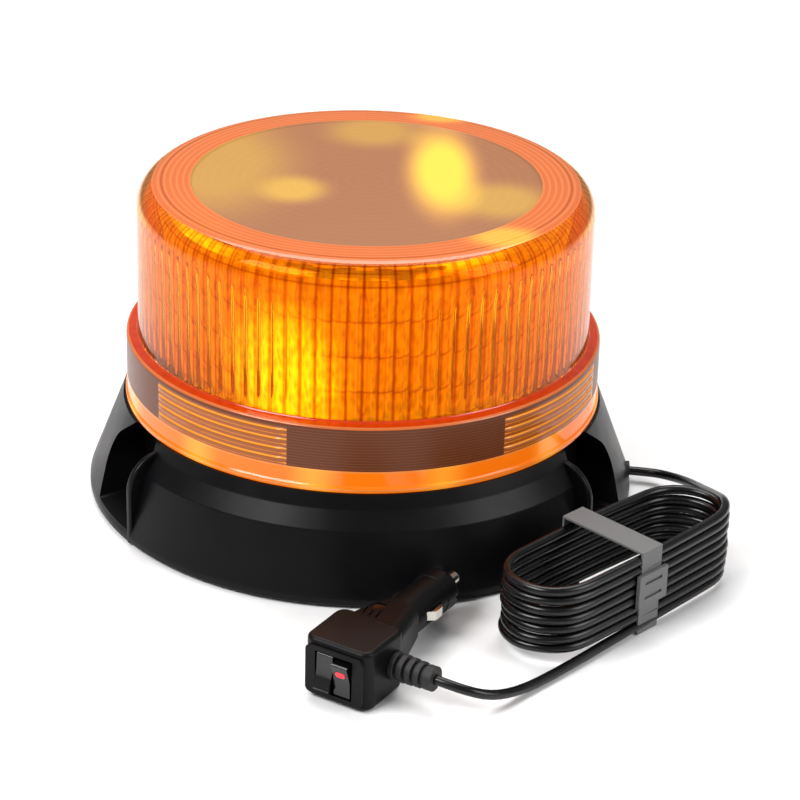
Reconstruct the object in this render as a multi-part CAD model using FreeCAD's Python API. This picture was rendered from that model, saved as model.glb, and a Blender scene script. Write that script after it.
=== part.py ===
import FreeCAD, Part
import math
import os

# LED safety flare: an amber beacon on a magnetic base, with a corded accessory plug.
# Millimetres, +Z up, origin on the floor under the centre of the base.
# Azimuths are counted from the front (-Y) towards +X.

Vector = FreeCAD.Vector
X_AXIS = Vector(1, 0, 0)
Y_AXIS = Vector(0, 1, 0)
Z_AXIS = Vector(0, 0, 1)
ORIGIN = Vector(0, 0, 0)

# ---- driving dimensions: base ----
base_r = 85.0                         # radius at the floor
rim_gap = 0.8                         # the moulding stands this far off the floor
rim_band = 2.0                        # upright band at the foot of the skirt
seat_z = 31.3                         # shoulder that the lens stands on
shoulder_r = base_r - 11.0            # radius of the base at that shoulder
pad_top_r = base_r - 5.8              # top of the stepped skirt, front and back
pad_top_z = seat_z - 9.4
collar_r = shoulder_r + 1.6           # foot of the collar above the step
collar_z = seat_z - 4.1
pad_half_angle = 53.4
shell_wall = 3.0
core_wall = 3.0
core_r = shoulder_r - 13.0            # inside radius of the middle chamber
pocket_azimuths = (62.0, 118.0, 242.0, 298.0)
pocket_foot = 13.0                    # outer side of a pocket at its floor, from its azimuth
pocket_reach = 20.5                   # and where the arch is widest
pocket_reach_z = seat_z - 11.3
pocket_crown = 2.5                    # the arch opens through the shoulder from here
pocket_inner = 16.0                   # reaches past the fin, which closes that side
pocket_floor_z = 4.2
pocket_corner = 10.0
pocket_back_r = core_r + core_wall + 2.0
housing_flange_r = shoulder_r - 3.9   # flange of the inner moulding, under the lens foot
housing_flange_z = seat_z - 1.7
fin_angle = 1.5                       # thickness of the fin at each end of a pad
fin_top_z = seat_z - 2.6
fin_corner = 11.5
fin_round = 0.7
spigot_r = shoulder_r - 5.0           # collar that carries the lens
spigot_wall = 3.0
spigot_top_z = seat_z + 18.7
snap_rise = 0.6
snap_length = 2.0
snap_z = seat_z + 12.7

# ---- driving dimensions: lens and light engine ----
lens_r = spigot_r + 0.3
lens_top_z = 99.5
lens_wall = 2.5
lens_roof = 2.8
shoulder_round = 7.6
roof_disc_r = lens_r - 16.3
roof_disc_depth = 0.6
flange_r = lens_r + 3.6
flange_top_z = seat_z + 20.4
flange_round = 0.9
foot_lip = 0.5
foot_lip_height = 1.6
lens_fit = 0.4                        # radial gap between the lens and the spigot
seal_top_z = seat_z + 6.3
seal_wall = 1.85
ridge_rows = 4
ridge_pitch = 3.0
ridge_height = 1.9
ridge_rise = 0.5
ridge_angle = 38.0
ridge_first_z = seat_z + 8.3
window_azimuth = 8.7                  # middle of the first plain window
prism_r = spigot_r - 8.0
prism_wall = 2.6
prism_top_z = lens_top_z - 8.0
prism_groove_drops = (1.7, 11.6, 23.0, 34.3)     # below the top of the ring
prism_groove_depth = 0.5
prism_groove_half = 0.5
tower_apothem = 20.0
tower_bore_r = 15.5
tower_roof = 3.0
tower_top_z = lens_top_z - 15.5
board_t = 1.6
board_end_gap = 2.0
wall_board_width = tower_apothem
wall_board_length = tower_top_z - seat_z - 6.7
led_size = 5.0
led_height = 1.5
led_rows = 5
led_columns = 2
led_row_pitch = (wall_board_length - 10.0) / (led_rows - 1)
led_column_pitch = wall_board_width - 10.5
cap_led_count = 6
cap_led_ring_r = tower_apothem - 7.0

# ---- driving dimensions: underside and electronics ----
plate_t = 1.8
plate_r = base_r - 3.7
fit_gap = 0.2                         # gap between pieces that drop into each other
magnet_azimuths = (45.0, 135.0, 225.0, 315.0)
plate_screw_azimuths = (10.0, 100.0, 190.0, 280.0)
tower_screw_azimuths = (30.0, 150.0, 270.0)
cup_r = 16.0
cup_height = 8.0
cup_wall = 2.0
magnet_ring_r = core_r - cup_r - 3.0
magnet_bore_r = 4.0
magnet_t = 5.5
pad_t = 1.0
driver_length = 56.0
driver_width = magnet_ring_r * math.sqrt(2) - 15.4
driver_z = seat_z - 13.3
driver_screw_inset = 4.0
capacitor_r = 4.0
capacitor_place = (-14.0, 6.0)
choke_r = 6.0
choke_bore_r = 2.5
choke_place = (0.0, -9.0)
chip_places = ((1.0, 8.0, 8.0, 6.0, 1.6), (-19.0, -9.0, 6.0, 6.0, 2.3), (-10.0, -9.0, 6.0, 6.0, 2.3))
terminal_x = 21.0
terminal_size = 10.0
terminal_height = 9.0
clamp_x = 50.0
clamp_length = 4.0
clamp_half = 4.0
clamp_wall = 1.5
post_r = 3.2
screw_r = 1.5                         # M3 shanks throughout the beacon
screw_fit = 0.05
screw_head_r = 2.9
screw_head_t = 1.8

# ---- driving dimensions: lead ----
lead_d = 2.8
lead_r = lead_d / 2
lead_exit_z = 3.6
lead_inner_z = lead_exit_z + 8.9
grommet_r = lead_r + 1.3
grommet_length = shell_wall + 2.4
hank_centre = Vector(base_r - 10.94, 5.0 - base_r, 0)
hank_angle = 44.65
hank_half_length = 41.1               # to the middle of the cord
hank_half_width = 13.0
hank_height = 25.0
strap_t = 0.6
strap_width = 8.5
strap_offset = -3.0                   # along the hank, from its middle
buckle_length = 12.0
buckle_height = 10.0
buckle_t = 1.2
buckle_z = 9.5
buckle_slot = 1.0

# ---- driving dimensions: plug, in its own frame: X to the tip, Y left, Z up ----
plug_origin = Vector(-5.5, -50.0 - base_r, 0)
plug_angle = 58.0
head_length = 19.0
head_width = 21.0
head_height = 18.0
head_round = 3.4
rim_round = 1.4
plug_wall = 1.8
barrel_r = 6.0
barrel_wall = 1.2
barrel_axis_z = head_height - 8.0
neck_start = head_length - 3.0
neck_end = head_length + 14.0
neck_low_z = 1.2
neck_high_z = head_height - 0.8
barrel_end = neck_end + 16.0
nose_end = barrel_end + 7.0
nose_r = barrel_r + 0.4
nose_wall = 1.4
nose_notches = 6
tip_r = 2.1
tip_end = nose_end + 6.5
tip_flange_r = 3.3
tip_flange_t = 1.3
running_gap = 0.06
fuse_r = 2.5
fuse_length = 20.0
fuse_cap_length = 5.0
fuse_glass_step = 0.25
fuse_start = neck_end - 9.0
spring_wire_r = 0.3
spring_coil_r = 1.9
spring_turns = 5
contact_length = 7.0
contact_width = 2.8
contact_start = neck_end + 5.0
contact_top = barrel_r + 1.3
contact_foot = 2.0
contact_inner = barrel_r - 2.1
contact_sheet = 0.5
contact_gap = 0.3
bezel_width = head_width - 3.0
bezel_height = head_height - 3.4
bezel_rise = 1.0
bezel_depth = 4.6
bezel_lap = 1.5                       # the bezel's flange laps the case by this
rocker_width = bezel_width / 2 - 4.0
rocker_length = bezel_height - 3.6
rocker_gap = 0.6
rocker_tilt = 11.0
rocker_proud = 1.9
rocker_depth = 1.3
rocker_pivot_x = 0.9
rocker_pin_r = 0.7
light_half_width = 1.4
light_half_height = 0.75
light_depth = 1.6
light_fit = 0.03
boot_x = head_length - 5.8
boot_z = head_height / 2
boot_length = 13.0
boot_core_r = lead_r + 1.3
boot_r = boot_core_r + 1.4
boot_ribs = 4
boot_end_length = 2.6
grip_count = 4
grip_angle = 12.0
grip_depth = 2.0
indicator_r = 2.1
indicator_place = (head_length + 7.5, 3.0)
plug_screw_r = 1.0
plug_screw_head_r = 2.0
plug_screw_head_t = 1.0
plug_screw_places = ((head_length - 5.5, 6.0), (head_length + 2.0, -7.0))

# ---- values worked out from the driving dimensions ----
recess_top_z = rim_gap + plate_t
band_top_z = rim_gap + rim_band
skirt_slope = (base_r - shoulder_r) / (seat_z - band_top_z)
ceiling_z = seat_z - shell_wall
core_outer_r = core_r + core_wall
cup_top_z = pad_t + cup_height
head_half = head_width / 2
rocker_centre_z = head_height / 2
barrel_bore_r = barrel_r - barrel_wall


# ---- helpers ----
def turned(shape, azimuth):
    """A copy of a shape built along -Y, turned to an azimuth."""
    copy = shape.copy()
    copy.rotate(ORIGIN, Z_AXIS, azimuth)
    return copy


def around(shape, azimuths):
    """Copies of a shape built along -Y, one at each azimuth."""
    return [turned(shape, azimuth) for azimuth in azimuths]


def rounded_wire(corners, place):
    """A closed wire through (u, v) or (u, v, radius) corners, with tangent arcs at the radii."""
    points = [place(corner[0], corner[1]) for corner in corners]
    radii = [corner[2] if len(corner) > 2 else 0.0 for corner in corners]
    edges = []
    ends = []
    count = len(points)
    for index in range(count):
        here = points[index]
        if radii[index] == 0:
            ends.append((here, here))
            continue
        to_last = (points[index - 1] - here).normalize()
        to_next = (points[(index + 1) % count] - here).normalize()
        half = to_last.getAngle(to_next) / 2
        reach = radii[index] / math.tan(half)
        start = here + to_last * reach
        finish = here + to_next * reach
        middle_dir = (to_last + to_next).normalize()
        centre = here + middle_dir * (radii[index] / math.sin(half))
        middle = centre - middle_dir * radii[index]
        edges.append(Part.Arc(start, middle, finish).toShape())
        ends.append((start, finish))
    for index in range(count):
        start = ends[index][1]
        finish = ends[(index + 1) % count][0]
        if start.distanceToPoint(finish) > 1e-6:
            edges.append(Part.LineSegment(start, finish).toShape())
    return Part.Wire(Part.__sortEdges__(edges))


def revolved(corners, start=0.0, sweep=360.0):
    """A solid turned about Z from an (r, z) outline, swept between two azimuths."""
    wire = rounded_wire(corners, lambda r, z: Vector(0, -r, z))
    solid = Part.Face(wire).revolve(ORIGIN, Z_AXIS, sweep)
    return turned(solid, start)


def plate(corners, z0, z1):
    """A flat-bottomed solid from an (x, y) outline."""
    wire = rounded_wire(corners, lambda x, y: Vector(x, y, z0))
    return Part.Face(wire).extrude(Vector(0, 0, z1 - z0))


def rectangle(x0, x1, y0, y1, radius=0.0):
    """The four corners of a rectangle, for the outline helpers."""
    return [(x0, y0, radius), (x1, y0, radius), (x1, y1, radius), (x0, y1, radius)]


def block(x0, x1, y0, y1, z0, z1):
    """A plain box between three pairs of limits."""
    return Part.makeBox(x1 - x0, y1 - y0, z1 - z0, Vector(x0, y0, z0))


def disc(radius, z0, z1, x=0.0, y=0.0):
    """An upright cylinder."""
    return Part.makeCylinder(radius, z1 - z0, Vector(x, y, z0))


def tube(outer_r, inner_r, z0, z1, x=0.0, y=0.0):
    """An upright ring."""
    return disc(outer_r, z0, z1, x, y).cut(disc(inner_r, z0, z1, x, y))


def rod(start, finish, radius):
    """A cylinder between two points."""
    axis = finish - start
    return Part.makeCylinder(radius, axis.Length, start, axis)


def screw(x, y, head_z, shank_end_z, shank_r=screw_r, head_r=screw_head_r, head_t=screw_head_t):
    """A pan-head screw that points up; its head hangs below head_z, with a cross recess."""
    head = disc(head_r, head_z - head_t, head_z, x, y)
    shank = disc(shank_r, head_z - head_t / 2, shank_end_z, x, y)
    slot = head_r * 0.6
    slot_w = head_r * 0.16
    bottom = head_z - head_t
    cross = block(x - slot, x + slot, y - slot_w, y + slot_w, bottom, bottom + head_t / 3)
    bar = block(x - slot_w, x + slot_w, y - slot, y + slot, bottom, bottom + head_t / 3)
    return head.fuse(shank).cut(cross.fuse(bar))


def tube_along(points, radius):
    """A round tube through hand-set points, with straight runs and tangent arcs."""
    edges = []
    arc_radii = []
    last = points[0]
    for index in range(1, len(points) - 1):
        before = points[index - 1] - points[index]
        after = points[index + 1] - points[index]
        shorter = min(before.Length, after.Length)
        to_last = before.normalize()
        to_next = after.normalize()
        half_turn = (math.pi - to_last.getAngle(to_next)) / 2
        reach = 0.45 * shorter
        arc_r = reach / math.tan(half_turn)
        start = points[index] + to_last * reach
        finish = points[index] + to_next * reach
        middle_dir = (to_last + to_next).normalize()
        middle = points[index] + middle_dir * (arc_r / math.cos(half_turn) - arc_r)
        edges.append(Part.LineSegment(last, start).toShape())
        edges.append(Part.Arc(start, middle, finish).toShape())
        arc_radii.append(arc_r)
        last = finish
    edges.append(Part.LineSegment(last, points[-1]).toShape())
    path = Part.Wire(edges)
    circle = Part.Circle(points[0], points[1] - points[0], radius)
    section = Part.Wire([circle.toShape()])
    solid = path.makePipeShell([section], True, False)
    ideal = math.pi * radius * radius * path.Length
    radii_text = ", ".join("%.1f" % value for value in arc_radii)
    print("lead radii mm: %s; length %.1f; volume %.4f of section x length"
          % (radii_text, path.Length, solid.Volume / ideal))
    return solid


def polar(radius, azimuth):
    """X and Y of a point at a radius and an azimuth."""
    angle = math.radians(azimuth - 90)
    return radius * math.cos(angle), radius * math.sin(angle)


# ---- base ----
def pad_sector(overlap):
    """The two sectors of the base that hold the stepped pads, widened by an angle."""
    outline = [(0, 0), (2 * base_r, 0), (2 * base_r, 2 * seat_z), (0, 2 * seat_z)]
    reach = pad_half_angle + overlap
    return revolved(outline, -reach, 2 * reach).fuse(revolved(outline, 180 - reach, 2 * reach))


def pocket(azimuth):
    """One finger pocket to cut away: a leaning arch, open at the shoulder, beside a fin."""
    pad_side = 1 if azimuth % 180 > 90 else -1
    over_top = seat_z + 2
    corners = [(-pocket_foot, pocket_floor_z, 1.5), (pocket_inner, pocket_floor_z),
               (pocket_inner, over_top), (-pocket_crown, over_top),
               (-pocket_reach, pocket_reach_z, pocket_corner)]
    wire = rounded_wire(corners, lambda x, z: Vector(pad_side * x, -pocket_back_r, z))
    arch = turned(Part.Face(wire).extrude(Vector(0, -base_r, 0)), azimuth)
    return arch.cut(pad_sector(fin_angle))


def pad_fin(start):
    """The thin round-edged fin that stands proud at one end of a pad."""
    root_r = pocket_back_r - 1
    fin = revolved([(root_r, rim_gap), (base_r, rim_gap), (base_r, fin_top_z, fin_corner),
                    (root_r, fin_top_z)], 0, fin_angle)
    outer_edges = []
    for edge in fin.Edges:
        low = min(vertex.Z for vertex in edge.Vertexes)
        inner = min(math.hypot(vertex.X, vertex.Y) for vertex in edge.Vertexes)
        chord = edge.Vertexes[0].Point.distanceToPoint(edge.Vertexes[-1].Point)
        rises = inner > root_r + 1 or low > fin_top_z - fin_round
        if rises and chord > 2 * base_r * math.sin(math.radians(fin_angle)):
            outer_edges.append(edge)
    return turned(fin.makeFillet(fin_round, outer_edges), start)


def base_skirt():
    """The black outer moulding: a cone with two stepped pads and four finger pockets."""
    inner = core_outer_r + fit_gap
    ledge_r = housing_flange_r + fit_gap
    body = revolved([(inner, rim_gap), (base_r, rim_gap, 0.6), (base_r, band_top_z, 3.0),
                     (shoulder_r, seat_z, 0.8), (ledge_r, seat_z), (ledge_r, housing_flange_z),
                     (inner, housing_flange_z)])
    for azimuth in pocket_azimuths:
        body = body.cut(pocket(azimuth))
    pad_outline = [(pocket_back_r, rim_gap), (base_r, rim_gap, 0.6), (base_r, band_top_z, 3.0),
                   (pad_top_r, pad_top_z, 1.4), (collar_r, collar_z, 2.2),
                   (shoulder_r, seat_z), (ledge_r, seat_z), (ledge_r, housing_flange_z),
                   (pocket_back_r, housing_flange_z)]
    for middle in (0, 180):
        pad_start = middle - pad_half_angle
        body = body.fuse(revolved(pad_outline, pad_start, 2 * pad_half_angle))
        body = body.fuse(pad_fin(pad_start - fin_angle))
        body = body.fuse(pad_fin(pad_start + 2 * pad_half_angle))
    body = body.cut(disc(plate_r + fit_gap, 0, recess_top_z))
    body = body.cut(skirt_hollows())
    body = body.cut(rod(Vector(core_r, 0, lead_exit_z), Vector(base_r + 5, 0, lead_exit_z), grommet_r))
    return body.removeSplitter()


def base_housing():
    """The black inner moulding: chamber, flange that clamps the skirt, and lens spigot."""
    body = tube(core_outer_r, core_r, recess_top_z, seat_z)
    body = body.fuse(disc(core_outer_r, ceiling_z, seat_z))
    body = body.fuse(tube(housing_flange_r, core_r, housing_flange_z, seat_z))
    body = body.fuse(tube(spigot_r, spigot_r - spigot_wall, seat_z - 1, spigot_top_z))
    body = body.fuse(snap_ring())
    body = body.cut(block(core_r - 1, core_outer_r + 1, -grommet_r, grommet_r, rim_gap, lead_inner_z))
    for boss in base_bosses():
        body = body.fuse(boss)
    for hole in base_holes():
        body = body.cut(hole)
    return body.removeSplitter()


def snap_ring():
    """The low ridge round the spigot that the lens snaps over."""
    root_r = spigot_r - spigot_wall / 2
    return revolved([(root_r, snap_z), (spigot_r, snap_z),
                     (spigot_r + snap_rise, snap_z + snap_length / 2),
                     (spigot_r, snap_z + snap_length), (root_r, snap_z + snap_length)])


def skirt_hollows():
    """The space inside the skirt between the pockets, closed below by the bottom plate."""
    inner = core_outer_r
    outer = base_r - shell_wall - 1
    roof = housing_flange_z - shell_wall
    top_r = base_r - skirt_slope * (roof - band_top_z) - shell_wall
    outline = [(inner, rim_gap), (outer, rim_gap), (outer, recess_top_z),
               (top_r, roof, 1.0), (inner, roof)]
    wall_angle = math.degrees(shell_wall / inner)
    front_half = pad_half_angle + fin_angle - wall_angle
    pocket_end = pocket_azimuths[0] + math.degrees(math.asin(pocket_reach / pocket_back_r))
    side_half = 90 - pocket_end - wall_angle
    spans = ((0, front_half), (180, front_half), (90, side_half), (270, side_half))
    hollows = [revolved(outline, middle - half, 2 * half) for middle, half in spans]
    return Part.makeCompound(hollows)


def magnet_places():
    """X and Y of each magnet."""
    return [polar(magnet_ring_r, azimuth) for azimuth in magnet_azimuths]


def plate_screw_places():
    """X and Y of the screws that hold the bottom plate."""
    return [polar(core_r - 5, azimuth) for azimuth in plate_screw_azimuths]


def driver_screw_places():
    """X and Y of the driver board's screws."""
    x = driver_length / 2 - driver_screw_inset
    y = driver_width / 2 - driver_screw_inset
    return [(x, y), (-x, y), (-x, -y), (x, -y)]


def tower_screw_places():
    """X and Y of the screws that hold the light tower."""
    radius = (tower_bore_r + tower_apothem) / 2
    return [polar(radius, azimuth) for azimuth in tower_screw_azimuths]


def base_bosses():
    """Posts inside the base for the magnet pots, the bottom plate and the driver board."""
    root_z = ceiling_z + 1
    bosses = [disc(post_r + 1.5, cup_top_z, root_z, x, y) for x, y in magnet_places()]
    bosses += [disc(post_r + 0.8, recess_top_z, root_z, x, y) for x, y in plate_screw_places()]
    bosses += [disc(post_r, driver_z + board_t, root_z, x, y) for x, y in driver_screw_places()]
    return bosses


def base_holes():
    """Screw holes in those posts and in the roof of the chamber."""
    hole_r = screw_r + screw_fit
    holes = [disc(hole_r, 0, ceiling_z - 2, x, y) for x, y in magnet_places()]
    holes += [disc(hole_r, 0, ceiling_z - 2, x, y) for x, y in plate_screw_places()]
    holes += [disc(hole_r, 0, ceiling_z - 1, x, y) for x, y in driver_screw_places()]
    holes += [disc(hole_r, 0, seat_z + 1, x, y) for x, y in tower_screw_places()]
    return holes


def bottom_plate():
    """Zinc-plated steel closing plate, with holes for the pots and a notch for the lead."""
    body = disc(plate_r, rim_gap, recess_top_z)
    for x, y in magnet_places():
        body = body.cut(disc(cup_r + fit_gap, 0, recess_top_z, x, y))
    for x, y in plate_screw_places():
        body = body.cut(disc(screw_r + 2 * screw_fit, 0, recess_top_z, x, y))
    notch = grommet_r + fit_gap
    return body.cut(block(core_r - 4, base_r, -notch, notch, 0, recess_top_z))


def plate_screws():
    """Flat screws whose heads stay clear of the floor."""
    head_t = rim_gap - 0.2
    return Part.makeCompound([screw(x, y, rim_gap, ceiling_z - 8, head_t=head_t)
                              for x, y in plate_screw_places()])


def magnet_cups():
    """Steel pots, open downwards."""
    cups = []
    for x, y in magnet_places():
        pot = disc(cup_r, pad_t, cup_top_z, x, y)
        pot = pot.cut(disc(cup_r - cup_wall, pad_t, cup_top_z - cup_wall, x, y))
        cups.append(pot.cut(disc(screw_r + 2 * screw_fit, 0, cup_top_z, x, y)))
    return Part.makeCompound(cups)


def magnets():
    """Ring magnets inside the pots."""
    top = cup_top_z - cup_wall
    outer = cup_r - cup_wall - fit_gap
    return Part.makeCompound([tube(outer, magnet_bore_r, top - magnet_t, top, x, y)
                              for x, y in magnet_places()])


def magnet_pads():
    """Rubber pads under the pots; the beacon stands on them."""
    return Part.makeCompound([tube(cup_r - fit_gap, magnet_bore_r, 0, pad_t, x, y)
                              for x, y in magnet_places()])


def magnet_screws():
    """Screws up through each magnet and pot into a post."""
    return Part.makeCompound([screw(x, y, cup_top_z - cup_wall, ceiling_z - 3)
                              for x, y in magnet_places()])


def cable_grommet():
    """Rubber grommet in the skirt, flush with the rim."""
    inner_x = base_r - grommet_length - 1.2
    body = rod(Vector(inner_x, 0, lead_exit_z), Vector(base_r, 0, lead_exit_z), grommet_r - screw_fit)
    hole = rod(Vector(inner_x - 1, 0, lead_exit_z), Vector(base_r + 1, 0, lead_exit_z), lead_r + screw_fit)
    return body.cut(hole).common(disc(base_r, 0, seat_z))


# ---- lens ----
def lens():
    """The amber cover: domed roof with a sunk disc, straight wall, ridged flange and foot."""
    foot_z = seat_z + foot_lip_height
    outside = [(0, seat_z), (flange_r + foot_lip, seat_z, 0.3), (flange_r + foot_lip, foot_z, 0.3),
               (flange_r, foot_z + foot_lip), (flange_r, flange_top_z - flange_round, flange_round),
               (lens_r + 0.4, flange_top_z + 0.4, 0.8), (lens_r, flange_top_z + 2.0),
               (lens_r, lens_top_z, shoulder_round), (roof_disc_r, lens_top_z),
               (roof_disc_r - roof_disc_depth, lens_top_z - roof_disc_depth),
               (0, lens_top_z - roof_disc_depth)]
    seal_r = spigot_r + seal_wall + fit_gap
    grip_r = spigot_r + lens_fit
    snap_low = snap_z - 0.5
    snap_high = snap_z + snap_length + 0.5
    inside = [(0, seat_z), (seal_r, seat_z), (seal_r, seal_top_z + 0.1), (grip_r, seal_top_z + 0.1),
              (grip_r, snap_low), (grip_r + snap_rise, snap_low + snap_rise),
              (grip_r + snap_rise, snap_high - snap_rise), (grip_r, snap_high),
              (grip_r, spigot_top_z + lens_fit), (lens_r - lens_wall, spigot_top_z + lens_fit + 1),
              (lens_r - lens_wall, lens_top_z - lens_roof, shoulder_round - lens_wall),
              (0, lens_top_z - lens_roof)]
    body = revolved(outside).cut(revolved(inside))
    for ridge in lens_ridges():
        body = body.fuse(ridge)
    return body.removeSplitter()


def lens_ridges():
    """Stacked ridges on the flange, in four groups between the plain windows."""
    ridges = []
    for group in range(4):
        middle = window_azimuth + 45 + 90 * group
        for row in range(ridge_rows):
            z = ridge_first_z + row * ridge_pitch
            half = ridge_height / 2
            outline = [(flange_r - 0.4, z - half), (flange_r, z - half),
                       (flange_r + ridge_rise, z, 0.4), (flange_r, z + half), (flange_r - 0.4, z + half)]
            ridges.append(revolved(outline, middle - ridge_angle / 2, ridge_angle))
    return ridges


def lens_seal():
    """Amber silicone ring between the lens foot and the spigot."""
    inner = spigot_r + fit_gap / 2
    return tube(inner + seal_wall, inner, seat_z + 0.3, seal_top_z)


def prism_ring():
    """The inner optic: an upright ring with level grooves cut round its outside."""
    ring = tube(prism_r, prism_r - prism_wall, seat_z, prism_top_z)
    for drop in prism_groove_drops:
        z = prism_top_z - drop
        rise = 3 * prism_groove_half
        groove = [(prism_r - prism_groove_depth, z), (prism_r + 1, z - rise), (prism_r + 1, z + rise)]
        ring = ring.cut(revolved(groove))
    return ring


# ---- light engine ----
def hexagon(apothem):
    """The corners of a hexagon with one flat facing the front."""
    radius = apothem / math.cos(math.pi / 6)
    return [polar(radius, 30 + 60 * side) for side in range(6)]


def led_tower():
    """Six-sided carrier with a round bore, screwed to the roof of the base."""
    body = plate(hexagon(tower_apothem), seat_z, tower_top_z)
    body = body.cut(disc(tower_bore_r, seat_z, tower_top_z - tower_roof))
    for x, y in tower_screw_places():
        body = body.cut(disc(screw_r + screw_fit, seat_z, seat_z + 9, x, y))
    return body


def led_boards():
    """Upright circuit boards, one on each side of the tower."""
    half = wall_board_width / 2
    near = tower_apothem
    top = tower_top_z - board_end_gap
    board = block(-half, half, -near - board_t, -near, top - wall_board_length, top)
    return Part.makeCompound(around(board, range(0, 360, 60)))


def wall_leds():
    """Diodes on the upright boards, in columns and rows."""
    near = tower_apothem + board_t
    middle_z = tower_top_z - board_end_gap - wall_board_length / 2
    half = led_size / 2
    chips = []
    for column in range(led_columns):
        x = (column - (led_columns - 1) / 2) * led_column_pitch
        for row in range(led_rows):
            z = middle_z + (row - (led_rows - 1) / 2) * led_row_pitch
            chip = block(x - half, x + half, -near - led_height, -near, z - half, z + half)
            chips += around(chip, range(0, 360, 60))
    return Part.makeCompound(chips)


def cap_board():
    """Flat board on top of the tower."""
    return disc(tower_apothem, tower_top_z, tower_top_z + board_t)


def cap_leds():
    """Diodes on the flat board: a ring and one in the middle."""
    z0 = tower_top_z + board_t
    half = led_size / 2
    middle = block(-half, half, -half, half, z0, z0 + led_height)
    y = -cap_led_ring_r
    outer = block(-half, half, y - half, y + half, z0, z0 + led_height)
    ring = around(outer, [index * 360 / cap_led_count for index in range(cap_led_count)])
    return Part.makeCompound([middle] + ring)


def tower_screws():
    """Screws up through the roof of the base into the tower."""
    return Part.makeCompound([screw(x, y, ceiling_z, seat_z + 8) for x, y in tower_screw_places()])


# ---- driver electronics ----
def driver_board():
    """Circuit board hung under the roof of the base."""
    x = driver_length / 2
    y = driver_width / 2
    body = plate(rectangle(-x, x, -y, y, 2.0), driver_z, driver_z + board_t)
    for hole_x, hole_y in driver_screw_places():
        body = body.cut(disc(screw_r + screw_fit, driver_z, driver_z + board_t, hole_x, hole_y))
    return body


def board_screws():
    """Screws that hold the driver board."""
    return Part.makeCompound([screw(x, y, driver_z, ceiling_z - 2) for x, y in driver_screw_places()])


def driver_capacitor():
    """Electrolytic capacitor standing down from the board."""
    x, y = capacitor_place
    can = disc(capacitor_r, cup_top_z + 1.0, driver_z - 0.8, x, y)
    foot = disc(capacitor_r + fit_gap, driver_z - 0.8, driver_z, x, y)
    return can.fuse(foot)


def driver_choke():
    """Wound ring choke."""
    x, y = choke_place
    return tube(choke_r, choke_bore_r, driver_z - choke_r, driver_z, x, y)


def driver_chips():
    """Controller and two switching transistors."""
    chips = []
    for x, y, length, width, height in chip_places:
        chips.append(block(x - length / 2, x + length / 2, y - width / 2, y + width / 2,
                           driver_z - height, driver_z))
    return Part.makeCompound(chips)


def wire_terminal():
    """Two-pole terminal that the lead enters."""
    half = terminal_size / 2
    low = driver_z - terminal_height
    body = block(terminal_x - half, terminal_x + half, -half, half, low, driver_z)
    for y in (-half / 2, half / 2):
        body = body.cut(disc(1.6, low, low + 4, terminal_x - 2, y))
    mouth = rod(Vector(terminal_x + 2, 0, lead_inner_z), Vector(terminal_x + half + 1, 0, lead_inner_z),
                lead_r + fit_gap)
    return body.cut(mouth)


def cable_clamp():
    """Saddle that grips the lead inside the base, hung from the chamber roof."""
    x0 = clamp_x - clamp_length / 2
    x1 = clamp_x + clamp_length / 2
    inner = clamp_half - clamp_wall
    body = block(x0, x1, -clamp_half, clamp_half, lead_inner_z - 3.5, ceiling_z)
    body = body.cut(block(x0, x1, -inner, inner, lead_inner_z + 4.5, ceiling_z - 2 * clamp_wall))
    bore = rod(Vector(x0 - 1, 0, lead_inner_z), Vector(x1 + 1, 0, lead_inner_z), lead_r + fit_gap)
    return body.cut(bore)


def lead_inside():
    """The end of the lead inside the base, from the grommet to the terminal."""
    points = [Vector(base_r - 7.0, 0, lead_exit_z), Vector(base_r - 15.0, 0, lead_exit_z),
              Vector(base_r - 23.0, 0, lead_exit_z + 4.2), Vector(clamp_x + 5.5, 0, lead_inner_z),
              Vector(clamp_x - 4.0, 0.1, lead_inner_z), Vector(clamp_x - 15.0, 1.0, lead_inner_z),
              Vector(terminal_x + 3.0, 0, lead_inner_z)]
    return tube_along(points, lead_r)


# ---- free lead ----
def lead_base_points():
    """From inside the grommet up to the top turn at the hank's far end."""
    top_z = strap_t + hank_height - lead_r
    hank_x = hank_centre.x
    hank_y = hank_centre.y
    return [Vector(base_r - 7.0, 0, lead_exit_z), Vector(base_r + 6.8, -0.4, lead_r + 1.6),
            Vector(base_r + 12.6, -5.4, lead_r + 2.8), Vector(base_r + 16.2, -14.2, top_z - 17.0),
            Vector(hank_x + 29.64, hank_y + 53.5, top_z - 12.6),
            Vector(hank_x + 31.54, hank_y + 38.8, top_z - 7.0),
            Vector(hank_x + 32.64, hank_y + 23.5, top_z - 0.8)]


def lead_plug_points():
    """From the bottom turn's front run along the floor and up into the boot."""
    hank_x = hank_centre.x
    hank_y = hank_centre.y
    floor_z = lead_r + 0.1
    plug_x = plug_origin.x
    plug_y = plug_origin.y
    return [Vector(hank_x - 1.46, hank_y - 19.6, floor_z + strap_t),
            Vector(hank_x - 11.26, hank_y - 31.2, floor_z),
            Vector(hank_x - 20.26, hank_y - 40.6, floor_z),
            Vector(plug_x + 50.7, plug_y + 5.8, floor_z + 0.4),
            Vector(plug_x + 42.0, plug_y - 2.4, floor_z + 3.2),
            on_plug_point(boot_x, -head_half - boot_length - 7, boot_z - 0.4),
            on_plug_point(boot_x, -head_half - boot_length + 3, boot_z)]


def in_hank(shape):
    """Moves a shape from the hank's own frame, X along it, to its place."""
    copy = shape.copy()
    copy.rotate(ORIGIN, Z_AXIS, hank_angle)
    copy.translate(hank_centre)
    return copy


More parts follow.
